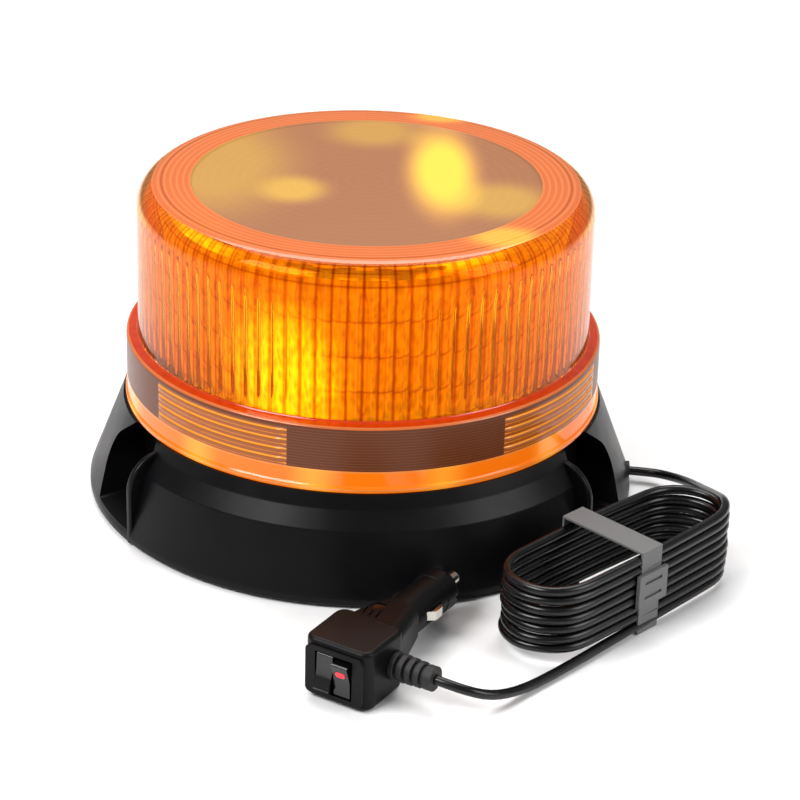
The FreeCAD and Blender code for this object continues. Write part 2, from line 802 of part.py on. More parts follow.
def lead_hank():
    """The tied hank of turns as one plain solid of its outer shape."""
    width = hank_half_width + lead_r
    length = hank_half_length + lead_r
    outline = rectangle(-length, length, -width, width, width - 0.01)
    return in_hank(plate(outline, strap_t, strap_t + hank_height))


def hank_strap():
    """Flat grey tie round the middle of the hank."""
    width = hank_half_width + lead_r
    x0 = strap_offset - strap_width / 2
    x1 = strap_offset + strap_width / 2
    top = strap_t + hank_height
    outside = block(x0, x1, -width - strap_t, width + strap_t, 0, top + strap_t)
    inside = block(x0, x1, -width, width, strap_t, top)
    return in_hank(outside.cut(inside))


def strap_buckle():
    """Tabbed slide on the front of the tie."""
    back = -hank_half_width - lead_r - strap_t
    front = back - buckle_t
    half = buckle_length / 2
    top = buckle_z + buckle_height
    slide = block(strap_offset - half, strap_offset + half, front, back, buckle_z, top)
    slot_half = strap_width / 2 - strap_t
    for z in (buckle_z + 2.2, top - 3.2):
        slide = slide.cut(block(strap_offset - slot_half, strap_offset + slot_half,
                                front, front + buckle_t / 2, z, z + buckle_slot))
    return in_hank(slide)


# ---- plug ----
def on_plug(shape):
    """Moves a shape from the plug's own frame to its place on the floor."""
    copy = shape.copy()
    copy.rotate(ORIGIN, Z_AXIS, plug_angle)
    copy.translate(plug_origin)
    return copy


def on_plug_point(x, y, z):
    """A point in the plug's own frame, at its place."""
    angle = math.radians(plug_angle)
    return plug_origin + Vector(x * math.cos(angle) - y * math.sin(angle),
                                x * math.sin(angle) + y * math.cos(angle), z)


def barrel_turned(corners):
    """A solid turned about the barrel's axis from an (x, r) outline."""
    wire = rounded_wire(corners, lambda x, r: Vector(x, 0, barrel_axis_z + r))
    return Part.Face(wire).revolve(Vector(0, 0, barrel_axis_z), X_AXIS, 360)


def barrel_rod(x0, x1, radius):
    """A cylinder on the barrel's axis."""
    return rod(Vector(x0, 0, barrel_axis_z), Vector(x1, 0, barrel_axis_z), radius)


def neck_block():
    """The tapering neck between the head and the barrel."""
    half = head_half - 0.6
    plan = plate([(neck_start, -half), (neck_end, -barrel_r), (neck_end, barrel_r), (neck_start, half)],
                 0, head_height)
    side_wire = rounded_wire([(neck_start, neck_low_z), (neck_end, barrel_axis_z - barrel_r),
                              (neck_end, barrel_axis_z + barrel_r), (neck_start, neck_high_z)],
                             lambda x, z: Vector(x, -head_width, z))
    side = Part.Face(side_wire).extrude(Vector(0, 2 * head_width, 0))
    body = plan.common(side)
    long_edges = []
    for edge in body.Edges:
        ends = [vertex.Point.x for vertex in edge.Vertexes]
        if abs(ends[0] - ends[1]) > (neck_end - neck_start) / 2:
            long_edges.append(edge)
    return body.makeFillet(barrel_r * 0.6, long_edges)


def plug_body():
    """The plug's whole outer case, hollowed, before it is split."""
    head = plate(rectangle(0, head_length, -head_half, head_half, head_round), 0, head_height)
    rims = [edge for edge in head.Edges
            if abs(edge.BoundBox.ZMin - edge.BoundBox.ZMax) < 0.01]
    head = head.makeFillet(rim_round, rims)
    body = head.fuse(neck_block()).fuse(barrel_rod(head_length, barrel_end, barrel_r))
    thread_end = nose_end - nose_wall - tip_flange_t - contact_gap
    body = body.fuse(barrel_rod(barrel_end - 1, thread_end, barrel_bore_r - running_gap))
    step_x = contact_start + contact_length + contact_foot + 0.4
    body = body.cut(barrel_rod(head_length - plug_wall - 1, step_x, barrel_bore_r))
    body = body.cut(barrel_rod(step_x - 1, nose_end, barrel_bore_r - 0.9))
    side = head_half - plug_wall
    room = block(plug_wall, head_length - plug_wall, -side, side, plug_wall, head_height - plug_wall)
    body = body.cut(room)
    half_w = bezel_width / 2 - bezel_lap
    half_h = bezel_height / 2 - bezel_lap + 0.5
    window = block(-1, plug_wall + 1, -half_w, half_w, rocker_centre_z - half_h, rocker_centre_z + half_h)
    body = body.cut(window)
    boot_hole = rod(Vector(boot_x, -head_half - 1, boot_z), Vector(boot_x, -side + 1, boot_z),
                    boot_core_r + screw_fit)
    body = body.cut(boot_hole)
    return body


def contact_slot(side):
    """The opening in the barrel for one side contact; side is 1 for left and -1 for right."""
    half = contact_width / 2 + contact_gap
    y0, y1 = sorted((side * (barrel_bore_r - 1.2), side * (contact_top + 1)))
    return block(contact_start - contact_gap, contact_start + contact_length + contact_gap, y0, y1,
                 barrel_axis_z - half, barrel_axis_z + half)


def plug_case():
    """The case with its screw posts, contact slots, grip grooves and window seat."""
    body = plug_body()
    x, y = plug_screw_places[0]
    body = body.fuse(disc(plug_screw_head_r + 0.4, plug_wall / 2, head_height - plug_wall / 2, x, y))
    for x, y in plug_screw_places:
        body = body.cut(disc(plug_screw_r + screw_fit, 0, barrel_axis_z + 4, x, y))
        body = body.cut(disc(plug_screw_head_r + 2 * screw_fit, -1, screw_seat_z(x), x, y))
    for side in (1, -1):
        body = body.cut(contact_slot(side))
    body = body.cut(window_hole(indicator_r + screw_fit))
    return body


def window_hole(radius):
    """The round seat of the indicator window in the neck's top."""
    x, y = indicator_place
    return disc(radius, barrel_axis_z + 2, head_height + 1, x, y)


def screw_seat_z(x):
    """Height of a plug screw's seat: a little above the case's underside at that place."""
    if x < neck_start:
        return plug_wall
    rise = (barrel_axis_z - barrel_r - neck_low_z) / (neck_end - neck_start)
    return plug_wall + (x - neck_start) * rise


def plug_upper_shell():
    """The half of the case above the barrel's axis, with grip grooves."""
    above = block(-5, tip_end, -head_width, head_width, barrel_axis_z, head_height + 5)
    shell = plug_case().common(above)
    for index in range(grip_count):
        groove = block(0, 3.4 + 2.4 * index, -0.3, 0.3, 0, head_height)
        groove.rotate(ORIGIN, Z_AXIS, grip_angle)
        groove.translate(Vector(head_length + 1.2, 6.4 - 2.1 * index, head_height - grip_depth))
        shell = shell.cut(groove)
    return shell


def plug_lower_shell():
    """The half of the case below the barrel's axis."""
    below = block(-5, tip_end, -head_width, head_width, -5, barrel_axis_z)
    return plug_case().common(below)


def plug_nose_cap():
    """Threaded ring over the end of the barrel, with grip notches, that keeps the tip in."""
    outline = [(barrel_end, barrel_bore_r), (barrel_end, nose_r - 0.2, 0.3),
               (nose_end - 2.2, nose_r, 0.8), (nose_end, nose_r - 1.6, 0.8),
               (nose_end, tip_r + running_gap), (nose_end - nose_wall, tip_r + running_gap),
               (nose_end - nose_wall, barrel_bore_r)]
    body = barrel_turned(outline)
    notch_z = barrel_axis_z + nose_r - 0.7
    notch = block(nose_end - 3.2, nose_end - 1.2, -0.9, 0.9, notch_z, notch_z + 2)
    step = 360 / nose_notches
    for index in range(nose_notches):
        cut = notch.copy()
        cut.rotate(Vector(0, 0, barrel_axis_z), X_AXIS, (index + 0.5) * step)
        body = body.cut(cut)
    return body


def plug_tip():
    """Nickel centre contact with a flange that rests behind the nose ring."""
    back = nose_end - nose_wall - tip_flange_t
    outline = [(back, 0), (back, tip_flange_r), (nose_end - nose_wall, tip_flange_r),
               (nose_end - nose_wall, tip_r), (tip_end, tip_r, 0.9), (tip_end, 0)]
    return barrel_turned(outline)


def tip_spring():
    """Coil spring between the fuse and the tip."""
    start = fuse_start + fuse_length
    rise = nose_end - nose_wall - tip_flange_t - start - 2 * spring_wire_r
    helix = Part.makeHelix(rise / spring_turns, rise, spring_coil_r)
    circle = Part.Circle(Vector(spring_coil_r, 0, 0), Y_AXIS, spring_wire_r)
    solid = Part.Wire(helix).makePipeShell([Part.Wire([circle.toShape()])], True, True)
    solid.rotate(ORIGIN, Y_AXIS, 90)
    solid.translate(Vector(start + spring_wire_r, 0, barrel_axis_z))
    return solid


def plug_fuse():
    """Glass fuse with metal end caps, 5 by 20 mm."""
    x0 = fuse_start
    x1 = fuse_start + fuse_length
    cap = fuse_cap_length
    glass_r = fuse_r - fuse_glass_step
    outline = [(x0, 0), (x0, fuse_r), (x0 + cap, fuse_r), (x0 + cap, glass_r),
               (x1 - cap, glass_r), (x1 - cap, fuse_r), (x1, fuse_r), (x1, 0)]
    return barrel_turned(outline)


def side_contact(side):
    """Sprung earth contact: a foot inside the barrel and a rounded hump through its slot."""
    x0 = contact_start
    x1 = contact_start + contact_length
    low = contact_inner
    sheet = contact_inner + contact_sheet
    outline = [(x0 - contact_foot, side * low), (x1 + contact_foot, side * low),
               (x1 + contact_foot, side * sheet), (x1, side * sheet), (x1 - 1.0, side * contact_top, 0.7),
               (x0 + 2.4, side * contact_top, 0.7), (x0, side * sheet), (x0 - contact_foot, side * sheet)]
    half = contact_width / 2
    return plate(outline, barrel_axis_z - half, barrel_axis_z + half)


def switch_plate():
    """Raised bezel in the rear face, with a window for the two rockers."""
    half_w = bezel_width / 2
    half_h = bezel_height / 2
    middle = rocker_centre_z
    face_wire = rounded_wire(rectangle(-half_w, half_w, middle - half_h, middle + half_h, 1.6),
                             lambda y, z: Vector(-bezel_rise, y, z))
    face = Part.Face(face_wire).extrude(Vector(bezel_rise, 0, 0))
    frame_w = half_w - bezel_lap - fit_gap / 2
    frame_h = half_h - bezel_lap + 0.5 - fit_gap / 2
    frame = block(0, bezel_depth, -frame_w, frame_w, middle - frame_h, middle + frame_h)
    open_w = rocker_width + 1.5 * rocker_gap
    open_h = rocker_length / 2 + rocker_gap
    opening = block(-5, bezel_depth + 5, -open_w, open_w, middle - open_h, middle + open_h)
    pin_hole = rod(Vector(rocker_pivot_x, -frame_w, middle), Vector(rocker_pivot_x, frame_w, middle),
                   rocker_pin_r)
    return face.fuse(frame).cut(opening).cut(pin_hole)


def rocker(side, tilt):
    """One rocker on the cross pin, turned by a tilt about +Y; side is 1 for left, -1 for right."""
    half = rocker_length / 2
    middle = rocker_centre_z
    outer = rocker_pivot_x - rocker_proud - bezel_rise
    inner = rocker_pivot_x + rocker_depth
    wire = rounded_wire([(outer, middle + half, 0.5), (inner, middle + half - 0.6, 0.4),
                         (inner, middle - half + 0.6, 0.4), (outer, middle - half, 0.5),
                         (outer + 0.9, middle, 9.0)],
                        lambda x, z: Vector(x, 0, z))
    near = side * rocker_gap / 2
    body = Part.Face(wire).extrude(Vector(0, side * rocker_width, 0))
    body.translate(Vector(0, near, 0))
    hole = rod(Vector(rocker_pivot_x, -head_half, middle), Vector(rocker_pivot_x, head_half, middle),
               rocker_pin_r + running_gap)
    body = body.cut(hole)
    body.rotate(Vector(rocker_pivot_x, 0, middle), Y_AXIS, tilt)
    return body


def light_block(grow=0.0):
    """The red light's place in the right rocker, before it is turned."""
    y = -(rocker_gap + rocker_width) / 2
    z = rocker_centre_z + rocker_length / 5
    face = rocker_pivot_x - rocker_proud - bezel_rise
    half_w = light_half_width + grow
    half_h = light_half_height + grow
    wire = rounded_wire(rectangle(y - half_w, y + half_w, z - half_h, z + half_h, light_half_height - 0.05),
                        lambda across, up: Vector(face, across, up))
    body = Part.Face(wire).extrude(Vector(light_depth + grow, 0, 0))
    body.translate(Vector(0.35 - grow, 0, 0))
    body.rotate(Vector(rocker_pivot_x, 0, rocker_centre_z), Y_AXIS, -rocker_tilt)
    return body


def rocker_right():
    """The lighted rocker, pressed at its bottom."""
    return rocker(-1, -rocker_tilt).cut(light_block(light_fit))


def rocker_pin():
    """Cross pin through both rockers, pressed into the bezel."""
    half = bezel_width / 2 - bezel_lap - fit_gap
    middle = rocker_centre_z
    return rod(Vector(rocker_pivot_x, -half, middle), Vector(rocker_pivot_x, half, middle), rocker_pin_r)


def switch_board():
    """Small circuit board behind the rockers, with two contact blocks."""
    half = head_half - plug_wall - fit_gap - 0.6
    x0 = bezel_depth + 2.0
    z0 = plug_wall + 0.6
    z1 = head_height - plug_wall - 0.6
    board = block(x0, x0 + 1.2, -half, half - 4.6, z0, z1)
    for side in (1, -1):
        middle = side * (rocker_gap + rocker_width) / 2
        board = board.fuse(block(x0 - 1.4, x0, middle - 1.2, middle + 1.2,
                                 rocker_centre_z - 3, rocker_centre_z + 3))
    return board


def indicator_window():
    """Dark window in the top of the neck."""
    x, y = indicator_place
    return disc(indicator_r, barrel_axis_z + barrel_bore_r + fit_gap, window_top_z(x) - 0.5, x, y)


def window_top_z(x):
    """Height of the neck's top surface at a place along the plug."""
    fall = (neck_high_z - barrel_axis_z - barrel_r) / (neck_end - neck_start)
    return neck_high_z - (x - neck_start) * fall


def plug_screws():
    """Two screws up from the underside that hold the shells together."""
    end_z = barrel_axis_z + 3.5
    return Part.makeCompound([screw(x, y, screw_seat_z(x), end_z, plug_screw_r, plug_screw_head_r,
                                    plug_screw_head_t) for x, y in plug_screw_places])


def plug_boot():
    """Ribbed strain relief on the right of the head, with a collar inside the case."""
    wall_y = head_half
    inside = head_half - plug_wall
    end = head_half + boot_length
    collar_r = boot_core_r + 0.9
    outline = [(inside - 1.2, lead_r + screw_fit), (inside - 1.2, collar_r), (inside, collar_r),
               (inside, boot_core_r), (wall_y, boot_core_r)]
    pitch = (boot_length - boot_end_length) / boot_ribs
    for index in range(boot_ribs):
        start = wall_y + index * pitch
        rib_r = boot_r - 0.14 * index
        outline += [(start, rib_r, 0.2), (start + pitch * 0.62, rib_r, 0.2),
                    (start + pitch * 0.62, boot_core_r), (start + pitch, boot_core_r)]
    last_r = boot_r - 0.6
    outline += [(end - boot_end_length, last_r, 0.2), (end, last_r, 0.2), (end, lead_r + screw_fit)]
    wire = rounded_wire(outline, lambda y, r: Vector(boot_x, -y, boot_z + r))
    return Part.Face(wire).revolve(Vector(boot_x, 0, boot_z), Y_AXIS, 360)


# ---- build ----
os.makedirs("parts", exist_ok=True)

beacon_nodes = {
    "lens": lens,
    "prism_ring": prism_ring,
    "lens_seal": lens_seal,
    "led_tower": led_tower,
    "led_boards": led_boards,
    "wall_leds": wall_leds,
    "cap_board": cap_board,
    "cap_leds": cap_leds,
    "tower_screws": tower_screws,
    "base_skirt": base_skirt,
    "base_housing": base_housing,
    "driver_board": driver_board,
    "driver_capacitor": driver_capacitor,
    "driver_choke": driver_choke,
    "driver_chips": driver_chips,
    "wire_terminal": wire_terminal,
    "board_screws": board_screws,
    "bottom_plate": bottom_plate,
    "plate_screws": plate_screws,
    "magnet_cups": magnet_cups,
    "magnets": magnets,
    "magnet_pads": magnet_pads,
    "magnet_screws": magnet_screws,
    "cable_grommet": cable_grommet,
    "cable_clamp": cable_clamp,
    "lead_inside": lead_inside,
    "lead_base_run": lambda: tube_along(lead_base_points(), lead_r),
    "lead_hank": lead_hank,
    "lead_plug_run": lambda: tube_along(lead_plug_points(), lead_r),
    "hank_strap": hank_strap,
    "strap_buckle": strap_buckle,
}

plug_nodes = {
    "plug_upper_shell": plug_upper_shell,
    "plug_lower_shell": plug_lower_shell,
    "plug_nose_cap": plug_nose_cap,
    "plug_tip": plug_tip,
    "tip_spring": tip_spring,
    "plug_fuse": plug_fuse,
    "side_contact_left": lambda: side_contact(1),
    "side_contact_right": lambda: side_contact(-1),
    "switch_plate": switch_plate,
    "rocker_left": lambda: rocker(1, rocker_tilt),
    "rocker_right": rocker_right,
    "rocker_light": light_block,
    "rocker_pin": rocker_pin,
    "switch_board": switch_board,
    "indicator_window": indicator_window,
    "plug_screws": plug_screws,
    "plug_boot": plug_boot,
}

for name, make in beacon_nodes.items():
    make().exportStep("parts/" + name + ".step")

for name, make in plug_nodes.items():
    on_plug(make()).exportStep("parts/" + name + ".step")
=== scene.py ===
"""LED warning beacon on a magnetic base, with a tied lead and an accessory plug.

Metres, +Z up, origin on the floor under the centre of the base.
"""

import logging
import math
import random
from dataclasses import dataclass, field
from enum import Enum
from typing import Sequence

import bmesh
import bpy
from mathutils import Matrix, Vector


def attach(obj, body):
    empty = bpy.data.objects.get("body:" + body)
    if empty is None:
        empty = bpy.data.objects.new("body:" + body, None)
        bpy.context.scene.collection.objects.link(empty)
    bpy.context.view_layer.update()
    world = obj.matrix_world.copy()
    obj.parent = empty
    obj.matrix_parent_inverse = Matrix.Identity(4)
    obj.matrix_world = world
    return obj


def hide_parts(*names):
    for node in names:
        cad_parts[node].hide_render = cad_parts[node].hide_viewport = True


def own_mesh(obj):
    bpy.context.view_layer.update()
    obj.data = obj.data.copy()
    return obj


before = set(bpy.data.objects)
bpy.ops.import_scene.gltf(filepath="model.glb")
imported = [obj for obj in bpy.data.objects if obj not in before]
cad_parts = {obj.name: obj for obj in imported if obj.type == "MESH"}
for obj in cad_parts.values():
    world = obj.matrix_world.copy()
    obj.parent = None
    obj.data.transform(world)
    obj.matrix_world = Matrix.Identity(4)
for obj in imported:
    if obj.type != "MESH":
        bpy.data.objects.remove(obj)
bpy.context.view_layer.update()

LOG = logging.getLogger("beacon")
MM = 0.001
Tree = bpy.types.NodeTree
Material = bpy.types.Material
Object = bpy.types.Object
Pair = tuple[float, float]


# ---------------------------------------------------------------- colour and nodes
def linear(hex_colour: str) -> tuple[float, float, float, float]:
    """Turn an sRGB hex colour to linear light.

    Args:
        hex_colour: Six hex digits, such as "FF8C10".

    Returns:
        Linear red, green, blue and an alpha of 1.
    """
    values = []
    for start in (0, 2, 4):
        channel = int(hex_colour[start:start + 2], 16) / 255
        values.append(channel / 12.92 if channel <= 0.04045 else ((channel + 0.055) / 1.055) ** 2.4)
    return values[0], values[1], values[2], 1.0


def add(tree: Tree, kind: str, inputs: dict | None = None, **settings: object) -> bpy.types.Node:
    """Add a shader node with its settings and links.

    Args:
        tree: Node tree that the node goes in.
        kind: Blender's name of the node type.
        inputs: Socket name or number to a value, or to another node's output.
        settings: The node's own properties.

    Returns:
        The new node.
    """
    node = tree.nodes.new(kind)
    for name, value in settings.items():
        setattr(node, name, value)
    for socket, value in (inputs or {}).items():
        if isinstance(value, bpy.types.NodeSocket):
            tree.links.new(value, node.inputs[socket])
        else:
            node.inputs[socket].default_value = value
    return node


def fresh(name: str) -> tuple[Material, Tree, bpy.types.Node]:
    """Start a material with one Principled shader on its output.

    Args:
        name: The material's name.

    Returns:
        The material, its tree and the shader node.
    """
    material = bpy.data.materials.new(name)
    material.use_nodes = True
    tree = material.node_tree
    tree.nodes.clear()
    shader = add(tree, "ShaderNodeBsdfPrincipled")
    add(tree, "ShaderNodeOutputMaterial", {"Surface": shader.outputs["BSDF"]})
    return material, tree, shader


def place(tree: Tree) -> bpy.types.NodeSocket:
    """Object coordinates, in metres from the base's centre on the floor."""
    return add(tree, "ShaderNodeTexCoord").outputs["Object"]


def measure(tree: Tree, kind: str) -> bpy.types.NodeSocket:
    """Give a place as one number, from object coordinates.

    Args:
        tree: Node tree that the nodes go in.
        kind: "angle" in turns about the beacon's axis, or "height" or "radius" in millimetres.

    Returns:
        The number's socket.
    """
    split_up = add(tree, "ShaderNodeSeparateXYZ", {0: place(tree)})
    x, y, z = (split_up.outputs[index] for index in range(3))
    if kind == "height":
        return add(tree, "ShaderNodeMath", {0: z, 1: 1000.0}, operation="MULTIPLY").outputs[0]
    if kind == "angle":
        turn = add(tree, "ShaderNodeMath", {0: x, 1: y}, operation="ARCTAN2")
        return add(tree, "ShaderNodeMath", {0: turn.outputs[0], 1: math.tau}, operation="DIVIDE").outputs[0]
    flat = add(tree, "ShaderNodeCombineXYZ", {0: x, 1: y})
    reach = add(tree, "ShaderNodeVectorMath", {0: flat.outputs[0]}, operation="LENGTH")
    return add(tree, "ShaderNodeMath", {0: reach.outputs["Value"], 1: 1000.0}, operation="MULTIPLY").outputs[0]


def lines(tree: Tree, kind: str, pitch: float, start: float, width: float) -> bpy.types.NodeSocket:
    """Fine repeated lines: 1 on a line, easing to 0 beside it; the amber finishes use it for their painted
    highlight and shade lines.

    Args:
        tree: Node tree that the nodes go in.
        kind: What the lines repeat along, as for measure.
        pitch: Distance from line to line.
        start: Where one of the lines lies.
        width: Share of the pitch that a line covers.

    Returns:
        The factor's socket.
    """
    moved = add(tree, "ShaderNodeMath", {0: measure(tree, kind), 1: start - pitch / 2}, operation="SUBTRACT")
    share = add(tree, "ShaderNodeMath", {0: moved.outputs[0], 1: pitch}, operation="DIVIDE")
    part = add(tree, "ShaderNodeMath", {0: share.outputs[0]}, operation="FRACT")
    centred = add(tree, "ShaderNodeMath", {0: part.outputs[0], 1: 0.5}, operation="SUBTRACT")
    away = add(tree, "ShaderNodeMath", {0: centred.outputs[0]}, operation="ABSOLUTE")
    return add(tree, "ShaderNodeMapRange", {
        "Value": away.outputs[0], "From Min": width / 2, "From Max": 0.0, "To Min": 0.0, "To Max": 1.0},
        interpolation_type="SMOOTHSTEP").outputs["Result"]


Spot = tuple[float, float, float]


def near_spot(tree: Tree, spot: Spot, reach: Spot) -> bpy.types.NodeSocket:
    """A soft patch: 1 round a place, easing to 0 at its reach along each axis, in millimetres; the mask of the
    amber's painted bright patches of glow.
    """
    moved = add(tree, "ShaderNodeVectorMath", {0: place(tree), 1: tuple(v * MM for v in spot)},
                operation="SUBTRACT")
    scaled = add(tree, "ShaderNodeVectorMath", {0: moved.outputs[0], 1: tuple(1 / (v * MM) for v in reach)},
                 operation="MULTIPLY")
    away = add(tree, "ShaderNodeVectorMath", {0: scaled.outputs[0]}, operation="LENGTH")
    return add(tree, "ShaderNodeMapRange", {
        "Value": away.outputs["Value"], "From Min": 1.0, "From Max": 0.3, "To Min": 0.0, "To Max": 1.0},
        interpolation_type="SMOOTHSTEP").outputs["Result"]


# ---------------------------------------------------------------- finishes
@dataclass(frozen=True)
class Finish:
    """One surface: its colour, gloss and the fine texture of how it was made."""

    name: str
    colour: str
    roughness: float = 0.4
    metallic: float = 0.0
    ior: float = 1.5
    grain_mm: float = 0.7
    grain_depth_mm: float = 0.012
    mottle: float = 0.08
    gloss_range: float = 0.05
    transmission: float = 0.0
    coat: float = 0.0
    specular: float = 0.5
    glow: str = ""
    glow_strength: float = 0.0

    def make(self) -> Material:
        """Build the material, once for each name.

        Returns:
            The material.
        """
        found = bpy.data.materials.get(self.name)
        if found:
            return found
        material, tree, shader = fresh(self.name)
        coords = place(tree)
        base = linear(self.colour)
        cloud = add(tree, "ShaderNodeTexNoise", {"Vector": coords, "Scale": 1 / (14 * MM), "Detail": 3.0})
        darker = tuple(c * (1 - self.mottle) for c in base[:3]) + (1.0,)
        lighter = tuple(min(1.0, c * (1 + self.mottle)) for c in base[:3]) + (1.0,)
        tint = add(tree, "ShaderNodeMix", {"Factor": cloud.outputs["Fac"], 6: darker, 7: lighter},
                   data_type="RGBA")
        tree.links.new(tint.outputs[2], shader.inputs["Base Color"])
        gloss = add(tree, "ShaderNodeMapRange", {
            "Value": cloud.outputs["Fac"], "From Min": 0.3, "From Max": 0.7,
            "To Min": max(0.02, self.roughness - self.gloss_range),
            "To Max": min(1.0, self.roughness + self.gloss_range)})
        tree.links.new(gloss.outputs["Result"], shader.inputs["Roughness"])
        if self.grain_depth_mm:
            grain = add(tree, "ShaderNodeTexNoise",
                        {"Vector": coords, "Scale": 1 / (self.grain_mm * MM), "Detail": 2.0})
            bump = add(tree, "ShaderNodeBump", {"Height": grain.outputs["Fac"], "Strength": 0.6,
                                                "Distance": self.grain_depth_mm * MM})
            tree.links.new(bump.outputs["Normal"], shader.inputs["Normal"])
        shader.inputs["Metallic"].default_value = self.metallic
        if not self.metallic:
            shader.inputs["IOR"].default_value = self.ior
        shader.inputs["Transmission Weight"].default_value = self.transmission
        shader.inputs["Coat Weight"].default_value = self.coat
        if not self.metallic:
            shader.inputs["Specular IOR Level"].default_value = self.specular
        # glow: the diodes' phosphor gives real light; on the seal it is a painted glow
        if self.glow:
            shader.inputs["Emission Color"].default_value = linear(self.glow)
            shader.inputs["Emission Strength"].default_value = self.glow_strength
        return material


class Finishes(Enum):
    """The plain finishes of the beacon, each named for its material and how it is made."""

    # spark-eroded mould: a soft satin sheen that greys towards the edges
    MOULDED_ABS = Finish("moulded_black_abs", "060608", 0.36, specular=0.17, grain_mm=0.6,
                         grain_depth_mm=0.010)
    # the plug's nylon is drier and coarser than the base
    MOULDED_NYLON = Finish("moulded_black_nylon", "0A0A0B", 0.4, specular=0.13, grain_mm=0.5,
                           grain_depth_mm=0.016)
    POLISHED_NYLON = Finish("polished_black_nylon", "0C0C0E", 0.16, grain_depth_mm=0.004)
    # rubber scatters most light: dull and even
    MOULDED_RUBBER = Finish("moulded_black_rubber", "141415", 0.62, grain_mm=0.4, grain_depth_mm=0.02)
    WHITE_NYLON = Finish("moulded_white_nylon", "D8D6CC", 0.5)
    # the lead's sheath: smooth, with a thin line of light along each turn
    EXTRUDED_PVC = Finish("extruded_black_pvc", "08080A", 0.26, specular=0.35, grain_mm=1.2,
                          grain_depth_mm=0.006)
    # woven tape: grey and quite matt
    GREY_TAPE = Finish("woven_grey_nylon", "626262", 0.7, grain_mm=0.35, grain_depth_mm=0.04)
    # the seal's silicone carries a painted glow, as though the diodes lit it
    SILICONE_PAINTED_GLOW = Finish("cast_amber_silicone_painted_glow", "FF8A10", 0.45, transmission=0.15,
                      glow="FF7A08", glow_strength=0.35)
    SOLDER_RESIST = Finish("green_solder_resist", "0E4A24", 0.3, coat=0.4)
    WHITE_RESIST = Finish("white_solder_resist", "E6E4DC", 0.35, coat=0.3)
    PHOSPHOR = Finish("diode_phosphor", "F2C43A", 0.5, glow="FFC040", glow_strength=0.8)
    EPOXY = Finish("black_epoxy_package", "161616", 0.5)
    POLYAMIDE = Finish("moulded_green_polyamide", "14713C", 0.45)
    FERRITE = Finish("sintered_ferrite", "2C2B2B", 0.7, grain_depth_mm=0.03)
    ZINC = Finish("zinc_plated_steel", "B4B6B8", 0.32, metallic=1.0, mottle=0.14)
    NICKEL = Finish("nickel_plated_brass", "C9C6BF", 0.14, metallic=1.0, grain_mm=0.3,
                    grain_depth_mm=0.003, mottle=0.05)
    SPRING = Finish("drawn_spring_steel", "9C9C9C", 0.25, metallic=1.0)
    FUSE = Finish("fuse_glass", "DCE6E6", 0.05, transmission=0.8, grain_depth_mm=0.0)
    RED_LIGHT = Finish("lit_red_polycarbonate", "D01018", 0.2, glow="FF1424", glow_strength=2.2,
                       grain_depth_mm=0.004)
    SMOKED = Finish("smoked_polycarbonate", "08080A", 0.1, grain_depth_mm=0.002)


# ---------------------------------------------------------------- mesh helpers
def arc_outline(corners: Sequence[Sequence[float]], steps: int = 5) -> list[Pair]:
    """Round the corners of an outline.

    Args:
        corners: (u, v) or (u, v, radius), in order.
        steps: Points on each rounded corner, less one.

    Returns:
        The outline's points.
    """
    points: list[Pair] = []
    count = len(corners)
    for index, corner in enumerate(corners):
        here = Vector(corner[:2])
        radius = corner[2] if len(corner) > 2 else 0.0
        if not radius:
            points.append((here.x, here.y))
            continue
        back = (Vector(corners[index - 1][:2]) - here).normalized()
        ahead = (Vector(corners[(index + 1) % count][:2]) - here).normalized()
        half = math.acos(max(-1.0, min(1.0, back.dot(ahead)))) / 2
        middle = (back + ahead).normalized()
        centre = here + middle * (radius / math.sin(half))
        start = here + back * (radius / math.tan(half))
        first = (start - centre)
        swing = (math.pi - 2 * half) * (1 if first.y * back.x - first.x * back.y > 0 else -1)
        for step in range(steps + 1):
            turn = Matrix.Rotation(swing * step / steps, 2)
            spot = centre + turn @ first
            points.append((spot.x, spot.y))
    return points


def finished(bm: bmesh.types.BMesh, name: str, sharp: float = 32.0) -> Object:
    """Merge, turn outwards and shade a mesh, and link it as an object.

    Args:
        bm: The mesh, in metres.
        name: The piece's name.
        sharp: Edges that fold by more than this, in degrees, stay crisp.

    Returns:
        The new object, at the origin.
    """
    bmesh.ops.remove_doubles(bm, verts=bm.verts, dist=1e-6)
    bmesh.ops.recalc_face_normals(bm, faces=bm.faces)
    if bm.calc_volume(signed=True) < 0:
        bmesh.ops.reverse_faces(bm, faces=bm.faces)
    limit = math.radians(sharp)
    for face in bm.faces:
        face.smooth = True
    for edge in bm.edges:
        edge.smooth = len(edge.link_faces) == 2 and edge.calc_face_angle(math.pi) < limit
    mesh = bpy.data.meshes.new(name)
    bm.to_mesh(mesh)
    bm.free()
    piece = bpy.data.objects.new(name, mesh)
    bpy.context.scene.collection.objects.link(piece)
    return piece


def turned(points: Sequence[Pair], steps: int, closed: bool = True) -> bmesh.types.BMesh:
    """Spin an (r, z) outline in millimetres about Z.

    Args:
        points: The outline; points at r = 0 lie on the axis.
        steps: Steps round the full turn.
        closed: Whether the last point joins the first.

    Returns:
        A mesh in metres.
    """
    bm = bmesh.new()
    verts = [bm.verts.new((r * MM, 0, z * MM)) for r, z in points]
    pairs = list(zip(verts, verts[1:] + verts[:1]))
    if not closed:
        pairs.pop()
    edges = [bm.edges.new(pair) for pair in pairs if pair[0].co.x or pair[1].co.x]
    bmesh.ops.spin(bm, geom=verts + edges, cent=(0, 0, 0), axis=(0, 0, 1), angle=math.tau,
                   steps=steps, use_merge=True)
    bmesh.ops.remove_doubles(bm, verts=bm.verts, dist=1e-6)
    return bm


def azimuth(x: float, y: float) -> float:
    """Degrees round Z, from the front towards +X."""
    return math.degrees(math.atan2(x, -y)) % 360


def gap_to(angle: float, middle: float) -> float:
    """Smallest angle between two azimuths, in degrees."""
    return abs((angle - middle + 180) % 360 - 180)


